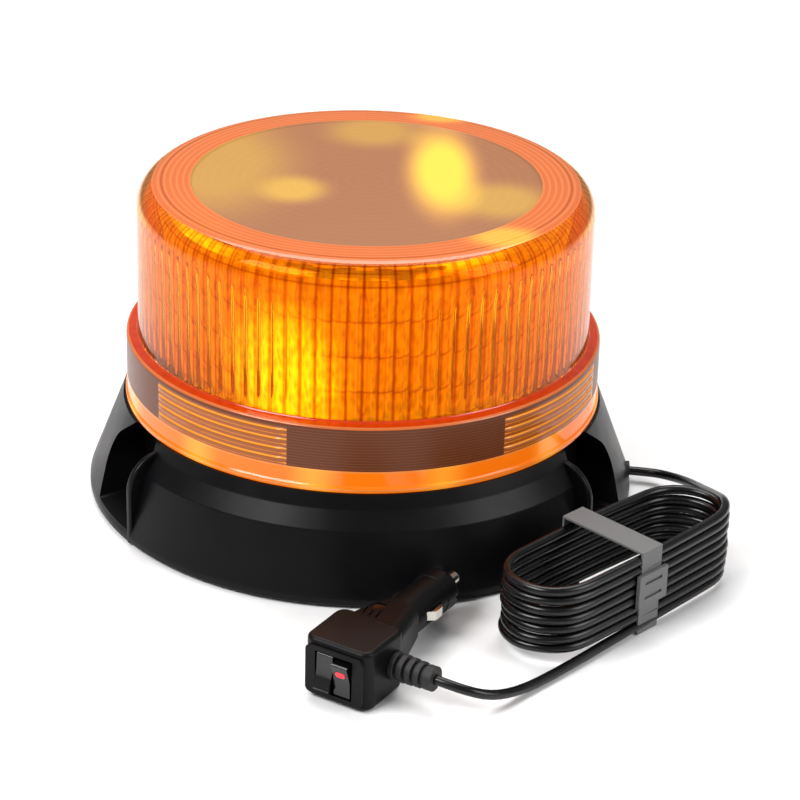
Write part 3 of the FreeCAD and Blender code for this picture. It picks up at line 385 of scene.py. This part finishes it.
def smooth_step(low: float, high: float, value: float) -> float:
    """Ease from 0 at low to 1 at high."""
    share = max(0.0, min(1.0, (value - low) / (high - low)))
    return share * share * (3 - 2 * share)


def split(low: float, high: float, pitch: float) -> list[float]:
    """Even heights from low to high, about a pitch apart."""
    count = max(1, round((high - low) / pitch))
    return [low + (high - low) * index / count for index in range(count + 1)]


def dress(piece: Object, finish: Material, body: str, slot: str, *nodes: str) -> Object:
    """Give a piece its finish and its body, and hide the nodes it stands for."""
    piece.data.materials.append(finish)
    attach(piece, body)
    if nodes:
        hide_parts(*nodes)
    LOG.info("%s: %s", piece.name, finish.name)
    return piece


# ---------------------------------------------------------------- amber pieces
@dataclass(frozen=True)
class PaintedLines:
    """A set of fine painted lines on the amber: painted highlights and painted shade that stand in for how its
    moulded detail catches the light, and how they shift its colour and glow.
    """

    kind: str
    pitch: float
    start: float
    width: float
    colour: str
    weight: float


@dataclass(frozen=True)
class Amber:
    """Amber polycarbonate: light passes and turns orange; on top of that it has a painted glow, painted bright
    patches, and painted light and dark lines where moulded detail would catch the light.
    """

    name: str
    colour: str
    glow: str
    glow_strength: float
    transmission: float
    roughness: float = 0.03
    ripple_mm: float = 3.0
    ripple_depth_mm: float = 0.02
    painted_lines: tuple[PaintedLines, ...] = ()
    # (place, reach, strength) of the painted bright patches of glow where the diodes would light it most,
    # millimetres
    painted_glow_patches: tuple[tuple[Spot, Spot, float], ...] = ()
    painted_patch_glow: str = "FFE23C"
    specular: float = 0.5
    sheen: str = "FFFFFF"
    glow_fleck: float = 0.0

    def make(self) -> Material:
        """Build the material.

        Returns:
            The material.
        """
        material, tree, shader = fresh(self.name)
        coords = place(tree)
        flow = add(tree, "ShaderNodeTexNoise",
                   {"Vector": coords, "Scale": 1 / (self.ripple_mm * MM), "Detail": 3.0})
        bump = add(tree, "ShaderNodeBump", {"Height": flow.outputs["Fac"], "Strength": 0.5,
                                            "Distance": self.ripple_depth_mm * MM})
        tree.links.new(bump.outputs["Normal"], shader.inputs["Normal"])
        wide = add(tree, "ShaderNodeTexNoise", {"Vector": coords, "Scale": 1 / (30 * MM), "Detail": 2.0})
        deep = linear(self.colour)
        pale = tuple(min(1.0, c * 1.1) for c in deep[:3]) + (1.0,)
        body = add(tree, "ShaderNodeMix", {"Factor": wide.outputs["Fac"], 6: deep, 7: pale},
                   data_type="RGBA").outputs[2]
        # painted glow: the emission colour stands in for the diodes' light, for the amber is no lamp
        light = add(tree, "ShaderNodeRGB").outputs[0]
        light.default_value = linear(self.glow)
        # painted highlight and shade lines go into both the base colour and the painted glow
        for painted_line in self.painted_lines:
            factor = lines(tree, painted_line.kind, painted_line.pitch, painted_line.start, painted_line.width)
            weight = add(tree, "ShaderNodeMath", {0: factor, 1: painted_line.weight}, operation="MULTIPLY").outputs[0]
            body = add(tree, "ShaderNodeMix", {"Factor": weight, 6: body, 7: linear(painted_line.colour)},
                       data_type="RGBA").outputs[2]
            light = add(tree, "ShaderNodeMix", {"Factor": weight, 6: light, 7: linear(painted_line.colour)},
                        data_type="RGBA").outputs[2]
        tree.links.new(body, shader.inputs["Base Color"])
        power = add(tree, "ShaderNodeValue").outputs[0]
        power.default_value = self.glow_strength
        # painted bright patches where the diodes would light the amber most
        for spot, reach, strength in self.painted_glow_patches:
            near = near_spot(tree, spot, reach)
            light = add(tree, "ShaderNodeMix", {"Factor": near, 6: light, 7: linear(self.painted_patch_glow)},
                        data_type="RGBA").outputs[2]
            power = add(tree, "ShaderNodeMix", {"Factor": near, 2: power, 3: strength}).outputs[0]
        # the painted glow varies cell by cell
        if self.glow_fleck:
            cell = add(tree, "ShaderNodeTexVoronoi", {"Vector": coords, "Scale": 1 / (3.4 * MM)})
            level = add(tree, "ShaderNodeMapRange", {
                "Value": cell.outputs["Distance"], "From Min": 0.05, "From Max": 0.75,
                "To Min": 1 - self.glow_fleck, "To Max": 1 + self.glow_fleck * 0.4})
            power = add(tree, "ShaderNodeMath", {0: power, 1: level.outputs["Result"]},
                        operation="MULTIPLY").outputs[0]
        tree.links.new(light, shader.inputs["Emission Color"])
        tree.links.new(power, shader.inputs["Emission Strength"])
        haze = add(tree, "ShaderNodeMapRange", {
            "Value": flow.outputs["Fac"], "From Min": 0.3, "From Max": 0.7,
            "To Min": self.roughness, "To Max": self.roughness + 0.04})
        tree.links.new(haze.outputs["Result"], shader.inputs["Roughness"])
        shader.inputs["IOR"].default_value = 1.58
        shader.inputs["Specular IOR Level"].default_value = self.specular
        shader.inputs["Specular Tint"].default_value = linear(self.sheen)
        shader.inputs["Transmission Weight"].default_value = self.transmission
        return material


# share of a turn from one flute to the next
FLUTE = 1 / 96


class Ambers(Enum):
    """The amber finishes; each part of the cover is polished or textured differently, and each has its own
    painted glow, painted highlights and painted shade.
    """

    # polished wall: the flutes behind it are shown as pairs of painted light and dark lines, with a faint
    # painted glow
    WALL = Amber("polished_amber_wall_painted_lines", "FFB010", "FF6A02", 0.05, 0.97, sheen="FF7A18", painted_lines=(
        PaintedLines("angle", FLUTE, 0.0, 0.34, "B04000", 0.85),
        PaintedLines("angle", FLUTE, 0.4 * FLUTE, 0.26, "FFC040", 0.7)))
    # flat ring of the roof: orange-pink, with a painted glow and painted bright patches; the turned streaks of
    # the mould are lighter painted lines where they catch the light, and a thin dark ring is painted at 61.7 mm
    # radius
    ROOF = Amber("turned_amber_roof_painted_glow", "B85E30", "E86A28", 0.14, 0.12, 0.16, specular=0.3, painted_lines=(
        PaintedLines("radius", 1.9, 0.0, 0.7, "D88850", 0.4), PaintedLines("radius", 61.7, 61.7, 0.02, "A04818", 0.9)),
        painted_glow_patches=(((24, 58, 99), (14, 8, 9), 0.45), ((40, -44, 99), (16, 12, 9), 0.5)))
    # sunk disc: etched, so it scatters and greys the light from below; that light is a painted glow with
    # painted bright patches, and faint lighter rings are painted on it
    DISC = Amber("etched_amber_disc_painted_glow", "8A5A3A", "C07838", 0.10, 0.1, 0.42, specular=0.35, painted_lines=(
        PaintedLines("radius", 3.1, 0.0, 0.6, "A87048", 0.12),), painted_patch_glow="FFDC08", painted_glow_patches=(
        ((-46, 12, 99), (34, 60, 30), 0.26), ((-22, -8, 99), (15, 16, 30), 0.42),
        ((2, 44, 99), (22, 20, 30), 0.25),
        ((40, -14, 99), (22, 22, 30), 0.3), ((23, 10, 99), (15, 52, 30), 0.95)))
    # plain windows between the ridge groups: thick; painted shade makes them dark and evenly brown, with faint
    # lighter painted streaks across them and a faint painted glow
    WINDOW = Amber("drawn_amber_window_painted_shade", "54280F", "8A4414", 0.10, 0.08, 0.3, specular=0.2, painted_lines=(
        PaintedLines("height", 0.9, 0.0, 0.5, "A0633E", 0.25),))
    # ridges: a painted highlight line runs along both edges of each, over a painted glow
    RIDGE = Amber("moulded_amber_ridges_painted_highlights", "8A4A1A", "B8601C", 0.18, 0.1, 0.12, specular=0.3, painted_lines=(
        PaintedLines("height", 3.0, 39.6 + 0.8, 0.24, "FFA030", 0.9),
        PaintedLines("height", 3.0, 39.6 - 0.8, 0.24, "FF9020", 0.9)))
    # foot of the flange: a painted glow stands in for the lit seal showing through it, with paler painted lines
    # round it and brighter painted streaks up it
    BAND = Amber("lit_amber_band", "C8600C", "FF7C08", 0.42, 0.1, 0.08, specular=0.25, painted_lines=(
        PaintedLines("height", 5.6, 32.2, 0.16, "C07A3C", 0.8), PaintedLines("angle", 1 / 12, 0.03, 0.5, "FFB83C", 0.4)))
    # the corner where wall and flange meet: painted shade in the crease makes it deep red-orange, under a
    # painted glow that varies cell by cell
    CORNER = Amber("amber_corner_painted_shade", "B83206", "D03C04", 0.25, 0.2, 0.05, glow_fleck=0.5)
    # inner prisms: a painted glow with painted bright patches stands in for the diodes' light they throw
    # forward in pillow-shaped flashes; painted dark lines run between the prism columns and rows
    OPTIC = Amber("lit_amber_prisms", "A85808", "FFC830", 0.62, 0.2, 0.1, specular=0.1, sheen="FF9030", painted_lines=(
        PaintedLines("angle", 1 / 60, 0.0, 0.22, "B04404", 0.6), PaintedLines("height", 11.1, 90.0, 0.1, "983804", 0.8)),
        painted_patch_glow="FFEE70", glow_fleck=0.5, painted_glow_patches=(
        ((27, 53, 78), (26, 26, 26), 1.5), ((-22, -54, 58), (22, 30, 32), 1.9),
        ((-48, 30, 76), (24, 24, 24), 1.5)))


@dataclass
class Lens:
    """The amber cover, with flutes inside its wall and ridges on its flange."""

    foot_z: float = 31.3
    foot_r: float = 73.4
    flange_r: float = 72.9
    flange_top: float = 51.7
    wall_r: float = 69.3
    wall_t: float = 2.5
    top_z: float = 99.5
    roof_t: float = 2.8
    shoulder: float = 7.6
    disc_r: float = 53.0
    disc_depth: float = 0.6
    spigot_gap_r: float = 69.4
    spigot_top: float = 50.4
    seal_r: float = 71.05
    seal_top: float = 37.7
    flutes: int = 96
    flute_depth: float = 0.75
    flute_low: float = 53.5
    flute_high: float = 91.0
    ridge_first: float = 39.6
    ridge_pitch: float = 3.0
    ridge_rows: int = 4
    ridge_height: float = 1.9
    ridge_rise: float = 0.5
    ridge_half_angle: float = 19.0
    window_middle: float = 8.7
    steps: int = 384

    def outline(self) -> list[Pair]:
        """The wall's section, outside then inside."""
        foot_top = self.foot_z + 1.6
        ridge_low = self.ridge_first - 1.5
        ridge_high = self.ridge_first + self.ridge_pitch * self.ridge_rows - 1.5
        inner_r = self.wall_r - self.wall_t
        outer = arc_outline([(0, self.foot_z), (self.foot_r, self.foot_z, 0.3), (self.foot_r, foot_top, 0.3),
                             (self.flange_r, foot_top + 0.5), (self.flange_r, ridge_low)], 2)[1:]
        outer += [(self.flange_r, z) for z in split(ridge_low, ridge_high, 0.25)[1:]]
        top = arc_outline([(self.flange_r, ridge_high), (self.flange_r, self.flange_top, 0.9),
                           (self.wall_r + 0.4, self.flange_top + 0.4, 0.8), (self.wall_r, self.flange_top + 2),
                           (self.wall_r, self.top_z, self.shoulder), (self.disc_r, self.top_z),
                           (self.disc_r - self.disc_depth, self.top_z - self.disc_depth),
                           (0, self.top_z - self.disc_depth)], 8)[1:]
        inner_top = self.top_z - self.roof_t
        inside = arc_outline([(0, inner_top), (inner_r, inner_top, self.shoulder - self.wall_t),
                              (inner_r, self.flute_high)], 8)
        inside += [(inner_r, z) for z in reversed(split(self.flute_low, self.flute_high, 3.0)[:-1])]
        inside += [(inner_r, self.spigot_top + 1), (self.spigot_gap_r, self.spigot_top),
                   (self.spigot_gap_r, self.seal_top), (self.seal_r, self.seal_top),
                   (self.seal_r, self.foot_z)]
        return outer + top + inside

    def shape_wall(self, bm: bmesh.types.BMesh) -> None:
        """Press the flutes into the inner wall and raise the ridges on the flange."""
        inner_r = self.wall_r - self.wall_t
        for vert in bm.verts:
            x, y, z = (value / MM for value in vert.co)
            radius = math.hypot(x, y)
            if radius < 1:
                continue
            angle = azimuth(x, y)
            push = 0.0
            if abs(radius - inner_r) < 0.05 and self.flute_low - 1 < z < self.flute_high + 1:
                wave = abs(math.sin(math.radians(angle) * self.flutes / 2))
                ends = min(smooth_step(self.flute_low - 1, self.flute_low + 2, z),
                           1 - smooth_step(self.flute_high - 3, self.flute_high + 1, z))
                push = self.flute_depth * wave * ends
            elif abs(radius - self.flange_r) < 0.05 and z > self.ridge_first - 1.4:
                push = self.ridge(angle, z)
            if push:
                scale = (radius + push) / radius
                vert.co.x *= scale
                vert.co.y *= scale

    def ridge(self, angle: float, z: float) -> float:
        """How far the flange stands out at a place, in millimetres."""
        aside = min(gap_to(angle, self.window_middle + 45 + 90 * group) for group in range(4))
        ends = 1 - smooth_step(self.ridge_half_angle - 1.4, self.ridge_half_angle, aside)
        rise = 0.0
        for row in range(self.ridge_rows):
            off = abs(z - self.ridge_first - row * self.ridge_pitch) / (self.ridge_height / 2)
            if off < 1:
                rise = math.sqrt(1 - off * off)
        return self.ridge_rise * rise * ends

    def region(self, middle: Vector) -> int:
        """Which finish an outer face takes, from the middle of the face in millimetres.

        Args:
            middle: Middle of the face.

        Returns:
            Place in the list of finishes that build gives the piece.
        """
        radius = math.hypot(middle.x, middle.y)
        if middle.z > self.top_z - 1.2:
            if radius < self.disc_r - 0.3:
                return 1
            return 2 if radius < self.wall_r - 4.2 else 0
        if radius < self.wall_r - 0.3:
            return 0
        if middle.z > self.flange_top + 0.1:
            return 6 if middle.z < self.flange_top + 1.3 else 0
        if middle.z > self.flange_top - 0.5:
            return 2
        if middle.z < self.seal_top:
            return 5
        angle = azimuth(middle.x, middle.y)
        aside = min(gap_to(angle, self.window_middle + 45 + 90 * group) for group in range(4))
        ridges_top = self.ridge_first + self.ridge_pitch * self.ridge_rows - 1.2
        if aside < self.ridge_half_angle and middle.z < ridges_top:
            return 4
        return 3

    def build(self) -> Object:
        """Make the cover, with its roof, windows, ridges and lit foot.

        Returns:
            The piece.
        """
        bm = turned(self.outline(), self.steps)
        self.shape_wall(bm)
        for face in bm.faces:
            middle = face.calc_center_median() / MM
            face.material_index = self.region(middle)
        piece = finished(bm, "amber_lens", 24)
        dress(piece, Ambers.WALL.value.make(), "flare", "amber_lens", "lens")
        for amber in (Ambers.DISC, Ambers.ROOF, Ambers.WINDOW, Ambers.RIDGE, Ambers.BAND, Ambers.CORNER):
            piece.data.materials.append(amber.value.make())
        return piece


@dataclass
class PrismRing:
    """The inner optic: rows of pillow-shaped prisms round a ring."""

    outer_r: float = 61.0
    wall: float = 2.6
    low: float = 31.3
    high: float = 91.5
    columns: int = 60
    row_lines: tuple[float, ...] = (31.3, 45.6, 57.2, 68.5, 79.9, 85.0, 89.8)
    swell: float = 0.9
    steps: int = 360

    def build(self, finish: Material) -> Object:
        """Make the ring.

        Args:
            finish: Its lit amber finish.

        Returns:
            The piece.
        """
        heights = sorted({round(z, 4) for low, high in zip(self.row_lines, self.row_lines[1:])
                          for z in split(low, high, 1.4)} | {self.high})
        base_r = self.outer_r - self.swell
        inner = self.outer_r - self.wall
        points = [(base_r, z) for z in heights] + [(inner, self.high), (inner, self.low)]
        bm = turned(points, self.steps)
        for vert in bm.verts:
            x, y, z = (value / MM for value in vert.co)
            radius = math.hypot(x, y)
            if abs(radius - base_r) > 0.05:
                continue
            push = self.pillow(azimuth(x, y), z)
            vert.co.x *= (radius + push) / radius
            vert.co.y *= (radius + push) / radius
        return dress(finished(bm, "prism_optic", 26), finish, "flare", "amber_optic", "prism_ring")

    def pillow(self, angle: float, z: float) -> float:
        """How far the ring swells at a place, in millimetres."""
        for low, high in zip(self.row_lines, self.row_lines[1:]):
            if low <= z <= high:
                across = abs(math.sin(math.radians(angle) * self.columns / 2))
                up = math.sin(math.pi * (z - low) / (high - low))
                return self.swell * math.sqrt(across * up)
        return 0.0


# ---------------------------------------------------------------- lead
@dataclass
class Lead:
    """The free lead: from the base, round the tied hank, to the plug."""

    diameter: float = 2.8
    exit: tuple[float, float, float] = (85.0, 0.0, 3.6)
    hank_centre: Pair = (74.06, -80.0)
    hank_angle: float = 44.65
    half_length: float = 41.1
    half_width: float = 13.0
    top_turn_z: float = 24.1
    pitch: float = 3.0
    turns: int = 7
    bow: float = 0.7
    seed: int = 7
    base_points: tuple[tuple[float, float, float], ...] = (
        (78.0, 0.0, 3.6), (91.8, -0.4, 3.0), (97.6, -5.4, 4.2), (101.2, -14.2, 7.2),
        (103.7, -26.5, 11.6), (105.6, -41.2, 17.2))
    plug_points: tuple[tuple[float, float, float], ...] = (
        (62.8, -111.2, 1.5), (53.8, -120.6, 1.5), (45.2, -129.2, 1.9), (36.5, -137.4, 4.7),
        (27.36, -139.97, 8.6), (18.88, -134.67, 9.0))

    def stations(self) -> list[Pair]:
        """One turn of the hank, clockwise from its far end, in the hank's own frame."""
        straight = self.half_length - self.half_width
        corner = self.half_width / math.cos(math.radians(18))
        spots: list[Pair] = []
        for degrees in (-36, -72):
            spots.append((straight + corner * math.cos(math.radians(degrees)),
                          corner * math.sin(math.radians(degrees))))
        for share in (0.72, 0.25, -0.25, -0.72):
            spots.append((straight * share, -self.half_width - self.bow * (1 - share * share)))
        for degrees in (-108, -144, 180, 144, 108):
            spots.append((-straight + corner * math.cos(math.radians(degrees)),
                          corner * math.sin(math.radians(degrees))))
        for share in (-0.72, -0.25, 0.25, 0.72):
            spots.append((straight * share, self.half_width + self.bow * (1 - share * share)))
        for degrees in (72, 36, 0):
            spots.append((straight + corner * math.cos(math.radians(degrees)),
                          corner * math.sin(math.radians(degrees))))
        return spots

    def hank_points(self) -> list[tuple[float, float, float]]:
        """The turns of the hank, top to bottom, slightly uneven where nothing ties them."""
        chance = random.Random(self.seed)
        angle = math.radians(self.hank_angle)
        one_turn = self.stations()
        count = len(one_turn)
        found = []
        for index in range(self.turns * count + 4):
            x, y = one_turn[index % count]
            free = min(1.0, abs(x) / self.half_length)
            spread = 1 + chance.uniform(-0.022, 0.008) * free
            x, y = x * spread, y * spread
            z = self.top_turn_z - self.pitch * index / count
            z = max(z, 2.1)
            found.append((self.hank_centre[0] + x * math.cos(angle) - y * math.sin(angle),
                          self.hank_centre[1] + x * math.sin(angle) + y * math.cos(angle), z))
        return found

    def build(self, finish: Material, on_lead: Sequence[Object]) -> Object:
        """Args:
            finish: The sheath's finish.
            on_lead: The plug's pieces and the strap; not used.

        Returns:
            The lead.
        """
        points = list(self.base_points) + self.hank_points() + list(self.plug_points)
        curve = bpy.data.curves.new("supply_lead", "CURVE")
        curve.dimensions = "3D"
        spline = curve.splines.new("NURBS")
        spline.points.add(len(points) - 1)
        for point, (x, y, z) in zip(spline.points, points):
            point.co = (x * MM, y * MM, z * MM, 1.0)
        spline.order_u = 3
        spline.use_endpoint_u = True
        spline.resolution_u = 4
        curve.bevel_depth = self.diameter / 2 * MM
        curve.bevel_resolution = 4
        curve.use_fill_caps = True
        lead = bpy.data.objects.new("supply_lead", curve)
        bpy.context.scene.collection.objects.link(lead)
        dress(lead, finish, "flare", "lead_pvc", "lead_base_run", "lead_hank", "lead_plug_run")
        return lead


# ---------------------------------------------------------------- plug spring
@dataclass
class TipSpring:
    """The coil spring behind the plug's tip; on the real plug it shortens as the tip is pressed."""

    plug_origin: tuple[float, float, float] = (-5.5, -135.0, 0.0)
    plug_angle: float = 58.0
    axis_z: float = 10.0
    start: float = 44.3
    finish: float = 53.0
    coil_r: float = 1.9
    wire_r: float = 0.3
    turns: int = 5
    steps: int = 24
    travel: float = 3.0

    def spot(self, x: float, y: float, z: float) -> Vector:
        """A place in the plug's own frame, in metres on the floor."""
        turn = Matrix.Rotation(math.radians(self.plug_angle), 3, "Z")
        return (Vector(self.plug_origin) + turn @ Vector((x, y, z))) * MM

    def build(self, finish: Material) -> Object:
        """Wind the spring.

        Args:
            finish: The wire's finish.

        Returns:
            The spring.
        """
        bm = bmesh.new()
        rings = []
        total = self.turns * self.steps
        for step in range(total + 1):
            share = step / total
            angle = math.tau * self.turns * share
            x = self.start + (self.finish - self.start) * share
            ring = []
            for side in range(8):
                around = math.tau * side / 8
                radius = self.coil_r + self.wire_r * math.cos(around)
                ring.append(bm.verts.new(self.spot(x + self.wire_r * math.sin(around), radius * math.cos(angle),
                                                   self.axis_z + radius * math.sin(angle))))
            rings.append(ring)
        for first, second in zip(rings, rings[1:]):
            for side in range(8):
                after = (side + 1) % 8
                bm.faces.new((first[side], first[after], second[after], second[side]))
        bm.faces.new(rings[0])
        bm.faces.new(rings[-1])
        spring = dress(finished(bm, "tip_coil_spring", 60), finish, "flare", "spring_steel", "tip_spring")
        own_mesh(spring)
        return spring


# ---------------------------------------------------------------- studio
@dataclass
class Studio:
    """Pale floor, soft lights and the camera."""

    target: tuple[float, float, float] = (0.0, 0.0, 0.0425)
    distance: float = 0.7955
    elevation: float = 24.62
    roll: float = 1.267
    lens: float = 115.4
    shift: Pair = (0.0465, -0.0606)

    def camera(self) -> Object:
        """Set the camera.

        Returns:
            The camera object.
        """
        data = bpy.data.cameras.new("camera")
        data.lens = self.lens
        data.shift_x, data.shift_y = self.shift
        data.clip_start = 0.05
        view = bpy.data.objects.new("camera", data)
        bpy.context.scene.collection.objects.link(view)
        rise = math.radians(self.elevation)
        away = Vector((0, -math.cos(rise), math.sin(rise))) * self.distance
        aim = Matrix.Rotation(math.pi / 2 - rise, 4, "X") @ Matrix.Rotation(math.radians(self.roll), 4, "Z")
        view.matrix_world = Matrix.Translation(Vector(self.target) + away) @ aim
        bpy.context.scene.camera = view
        return view

    def floor(self) -> Object:
        """Lay the pale floor."""
        bm = bmesh.new()
        bmesh.ops.create_grid(bm, x_segments=1, y_segments=1, size=3.0)
        bmesh.ops.translate(bm, verts=bm.verts, vec=(0, 0, -0.0002))
        piece = finished(bm, "floor")
        piece.data.materials.append(Finish("pale_floor", "F4F4F4", 0.6, grain_depth_mm=0.0).make())
        return piece

    def light(self, name: str, spot: Sequence[float], size: Pair, power: float,
              colour: str = "FFFFFF") -> Object:
        """Hang one soft light that faces the beacon.

        Args:
            name: Its name.
            spot: Its place in metres.
            size: Width and height in metres.
            power: Watts.
            colour: Its sRGB colour.

        Returns:
            The light object.
        """
        data = bpy.data.lights.new(name, "AREA")
        data.shape = "RECTANGLE"
        data.size, data.size_y = size
        data.energy = power
        data.color = linear(colour)[:3]
        lamp = bpy.data.objects.new(name, data)
        bpy.context.scene.collection.objects.link(lamp)
        lamp.location = spot
        to_target = Vector(self.target) - Vector(spot)
        lamp.rotation_euler = to_target.to_track_quat("-Z", "Y").to_euler()
        return lamp

    def world(self) -> None:
        """White to look at, and dimmer for what it throws on the beacon."""
        world = bpy.data.worlds.new("studio")
        bpy.context.scene.world = world
        world.use_nodes = True
        tree = world.node_tree
        tree.nodes.clear()
        seen = add(tree, "ShaderNodeBackground", {"Color": (1, 1, 1, 1), "Strength": 1.0})
        thrown = add(tree, "ShaderNodeBackground", {"Color": (1, 1, 1, 1), "Strength": 0.26})
        path = add(tree, "ShaderNodeLightPath")
        both = add(tree, "ShaderNodeMixShader", {0: path.outputs["Is Camera Ray"],
                                                 1: thrown.outputs[0], 2: seen.outputs[0]})
        add(tree, "ShaderNodeOutputWorld", {"Surface": both.outputs[0]})

    def build(self) -> None:
        """Set the whole studio."""
        scene = bpy.context.scene
        scene.view_settings.view_transform = "Standard"
        self.camera()
        self.floor()
        self.world()
        self.light("key", (-0.55, -0.45, 0.75), (0.5, 0.35), 9.0)
        self.light("fill", (0.7, -0.35, 0.45), (0.4, 0.5), 3.5)
        self.light("top", (0.0, 0.35, 0.9), (0.8, 0.5), 8.0)


# ---------------------------------------------------------------- frame pieces
@dataclass
class FramePieces:
    """Finishes of the pieces that keep the frame's own shape."""

    finishes: dict[str, Finishes] = field(default_factory=lambda: {
        "base_skirt": Finishes.MOULDED_ABS, "base_housing": Finishes.MOULDED_ABS,
        "cable_clamp": Finishes.MOULDED_ABS, "lens_seal": Finishes.SILICONE_PAINTED_GLOW,
        "led_tower": Finishes.WHITE_NYLON, "led_boards": Finishes.WHITE_RESIST,
        "cap_board": Finishes.WHITE_RESIST, "wall_leds": Finishes.PHOSPHOR,
        "cap_leds": Finishes.PHOSPHOR, "tower_screws": Finishes.ZINC,
        "driver_board": Finishes.SOLDER_RESIST, "driver_capacitor": Finishes.EPOXY,
        "driver_choke": Finishes.FERRITE, "driver_chips": Finishes.EPOXY,
        "wire_terminal": Finishes.POLYAMIDE, "board_screws": Finishes.ZINC,
        "bottom_plate": Finishes.ZINC, "plate_screws": Finishes.ZINC,
        "magnet_cups": Finishes.ZINC, "magnets": Finishes.FERRITE,
        "magnet_pads": Finishes.MOULDED_RUBBER, "magnet_screws": Finishes.ZINC,
        "cable_grommet": Finishes.MOULDED_RUBBER, "lead_inside": Finishes.MOULDED_RUBBER,
        "hank_strap": Finishes.GREY_TAPE, "strap_buckle": Finishes.GREY_TAPE,
        "plug_upper_shell": Finishes.MOULDED_NYLON, "plug_lower_shell": Finishes.MOULDED_NYLON,
        "plug_nose_cap": Finishes.MOULDED_NYLON, "plug_tip": Finishes.NICKEL,
        "plug_fuse": Finishes.FUSE,
        "side_contact_left": Finishes.NICKEL, "side_contact_right": Finishes.NICKEL,
        "switch_plate": Finishes.MOULDED_NYLON, "rocker_left": Finishes.POLISHED_NYLON,
        "rocker_right": Finishes.POLISHED_NYLON, "rocker_light": Finishes.RED_LIGHT,
        "rocker_pin": Finishes.ZINC, "switch_board": Finishes.SOLDER_RESIST,
        "indicator_window": Finishes.SMOKED, "plug_screws": Finishes.ZINC,
        "plug_boot": Finishes.MOULDED_RUBBER})

    def dress(self) -> None:
        """Put each finish on its piece."""
        for name, finish in self.finishes.items():
            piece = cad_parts.get(name)
            if piece is None:
                continue
            for slot in piece.material_slots:
                slot.material = finish.value.make()
            LOG.info("%s: %s", name, finish.value.name)


ON_LEAD = ("hank_strap", "strap_buckle", "plug_upper_shell", "plug_lower_shell", "plug_nose_cap",
           "plug_tip", "plug_fuse", "side_contact_left", "side_contact_right",
           "switch_plate", "rocker_left", "rocker_right", "rocker_light", "rocker_pin",
           "switch_board", "indicator_window", "plug_screws", "plug_boot")


def main() -> None:
    """Build every piece in order."""
    logging.basicConfig(level=logging.INFO, format="%(name)s: %(message)s")
    Studio().build()
    FramePieces().dress()
    spring = TipSpring().build(Finishes.SPRING.value.make())
    plug_pieces = [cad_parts[name] for name in ON_LEAD]
    Lead().build(Finishes.EXTRUDED_PVC.value.make(), plug_pieces + [spring])
    Lens().build()
    PrismRing().build(Ambers.OPTIC.value.make())


if __name__ == "__main__":
    main()
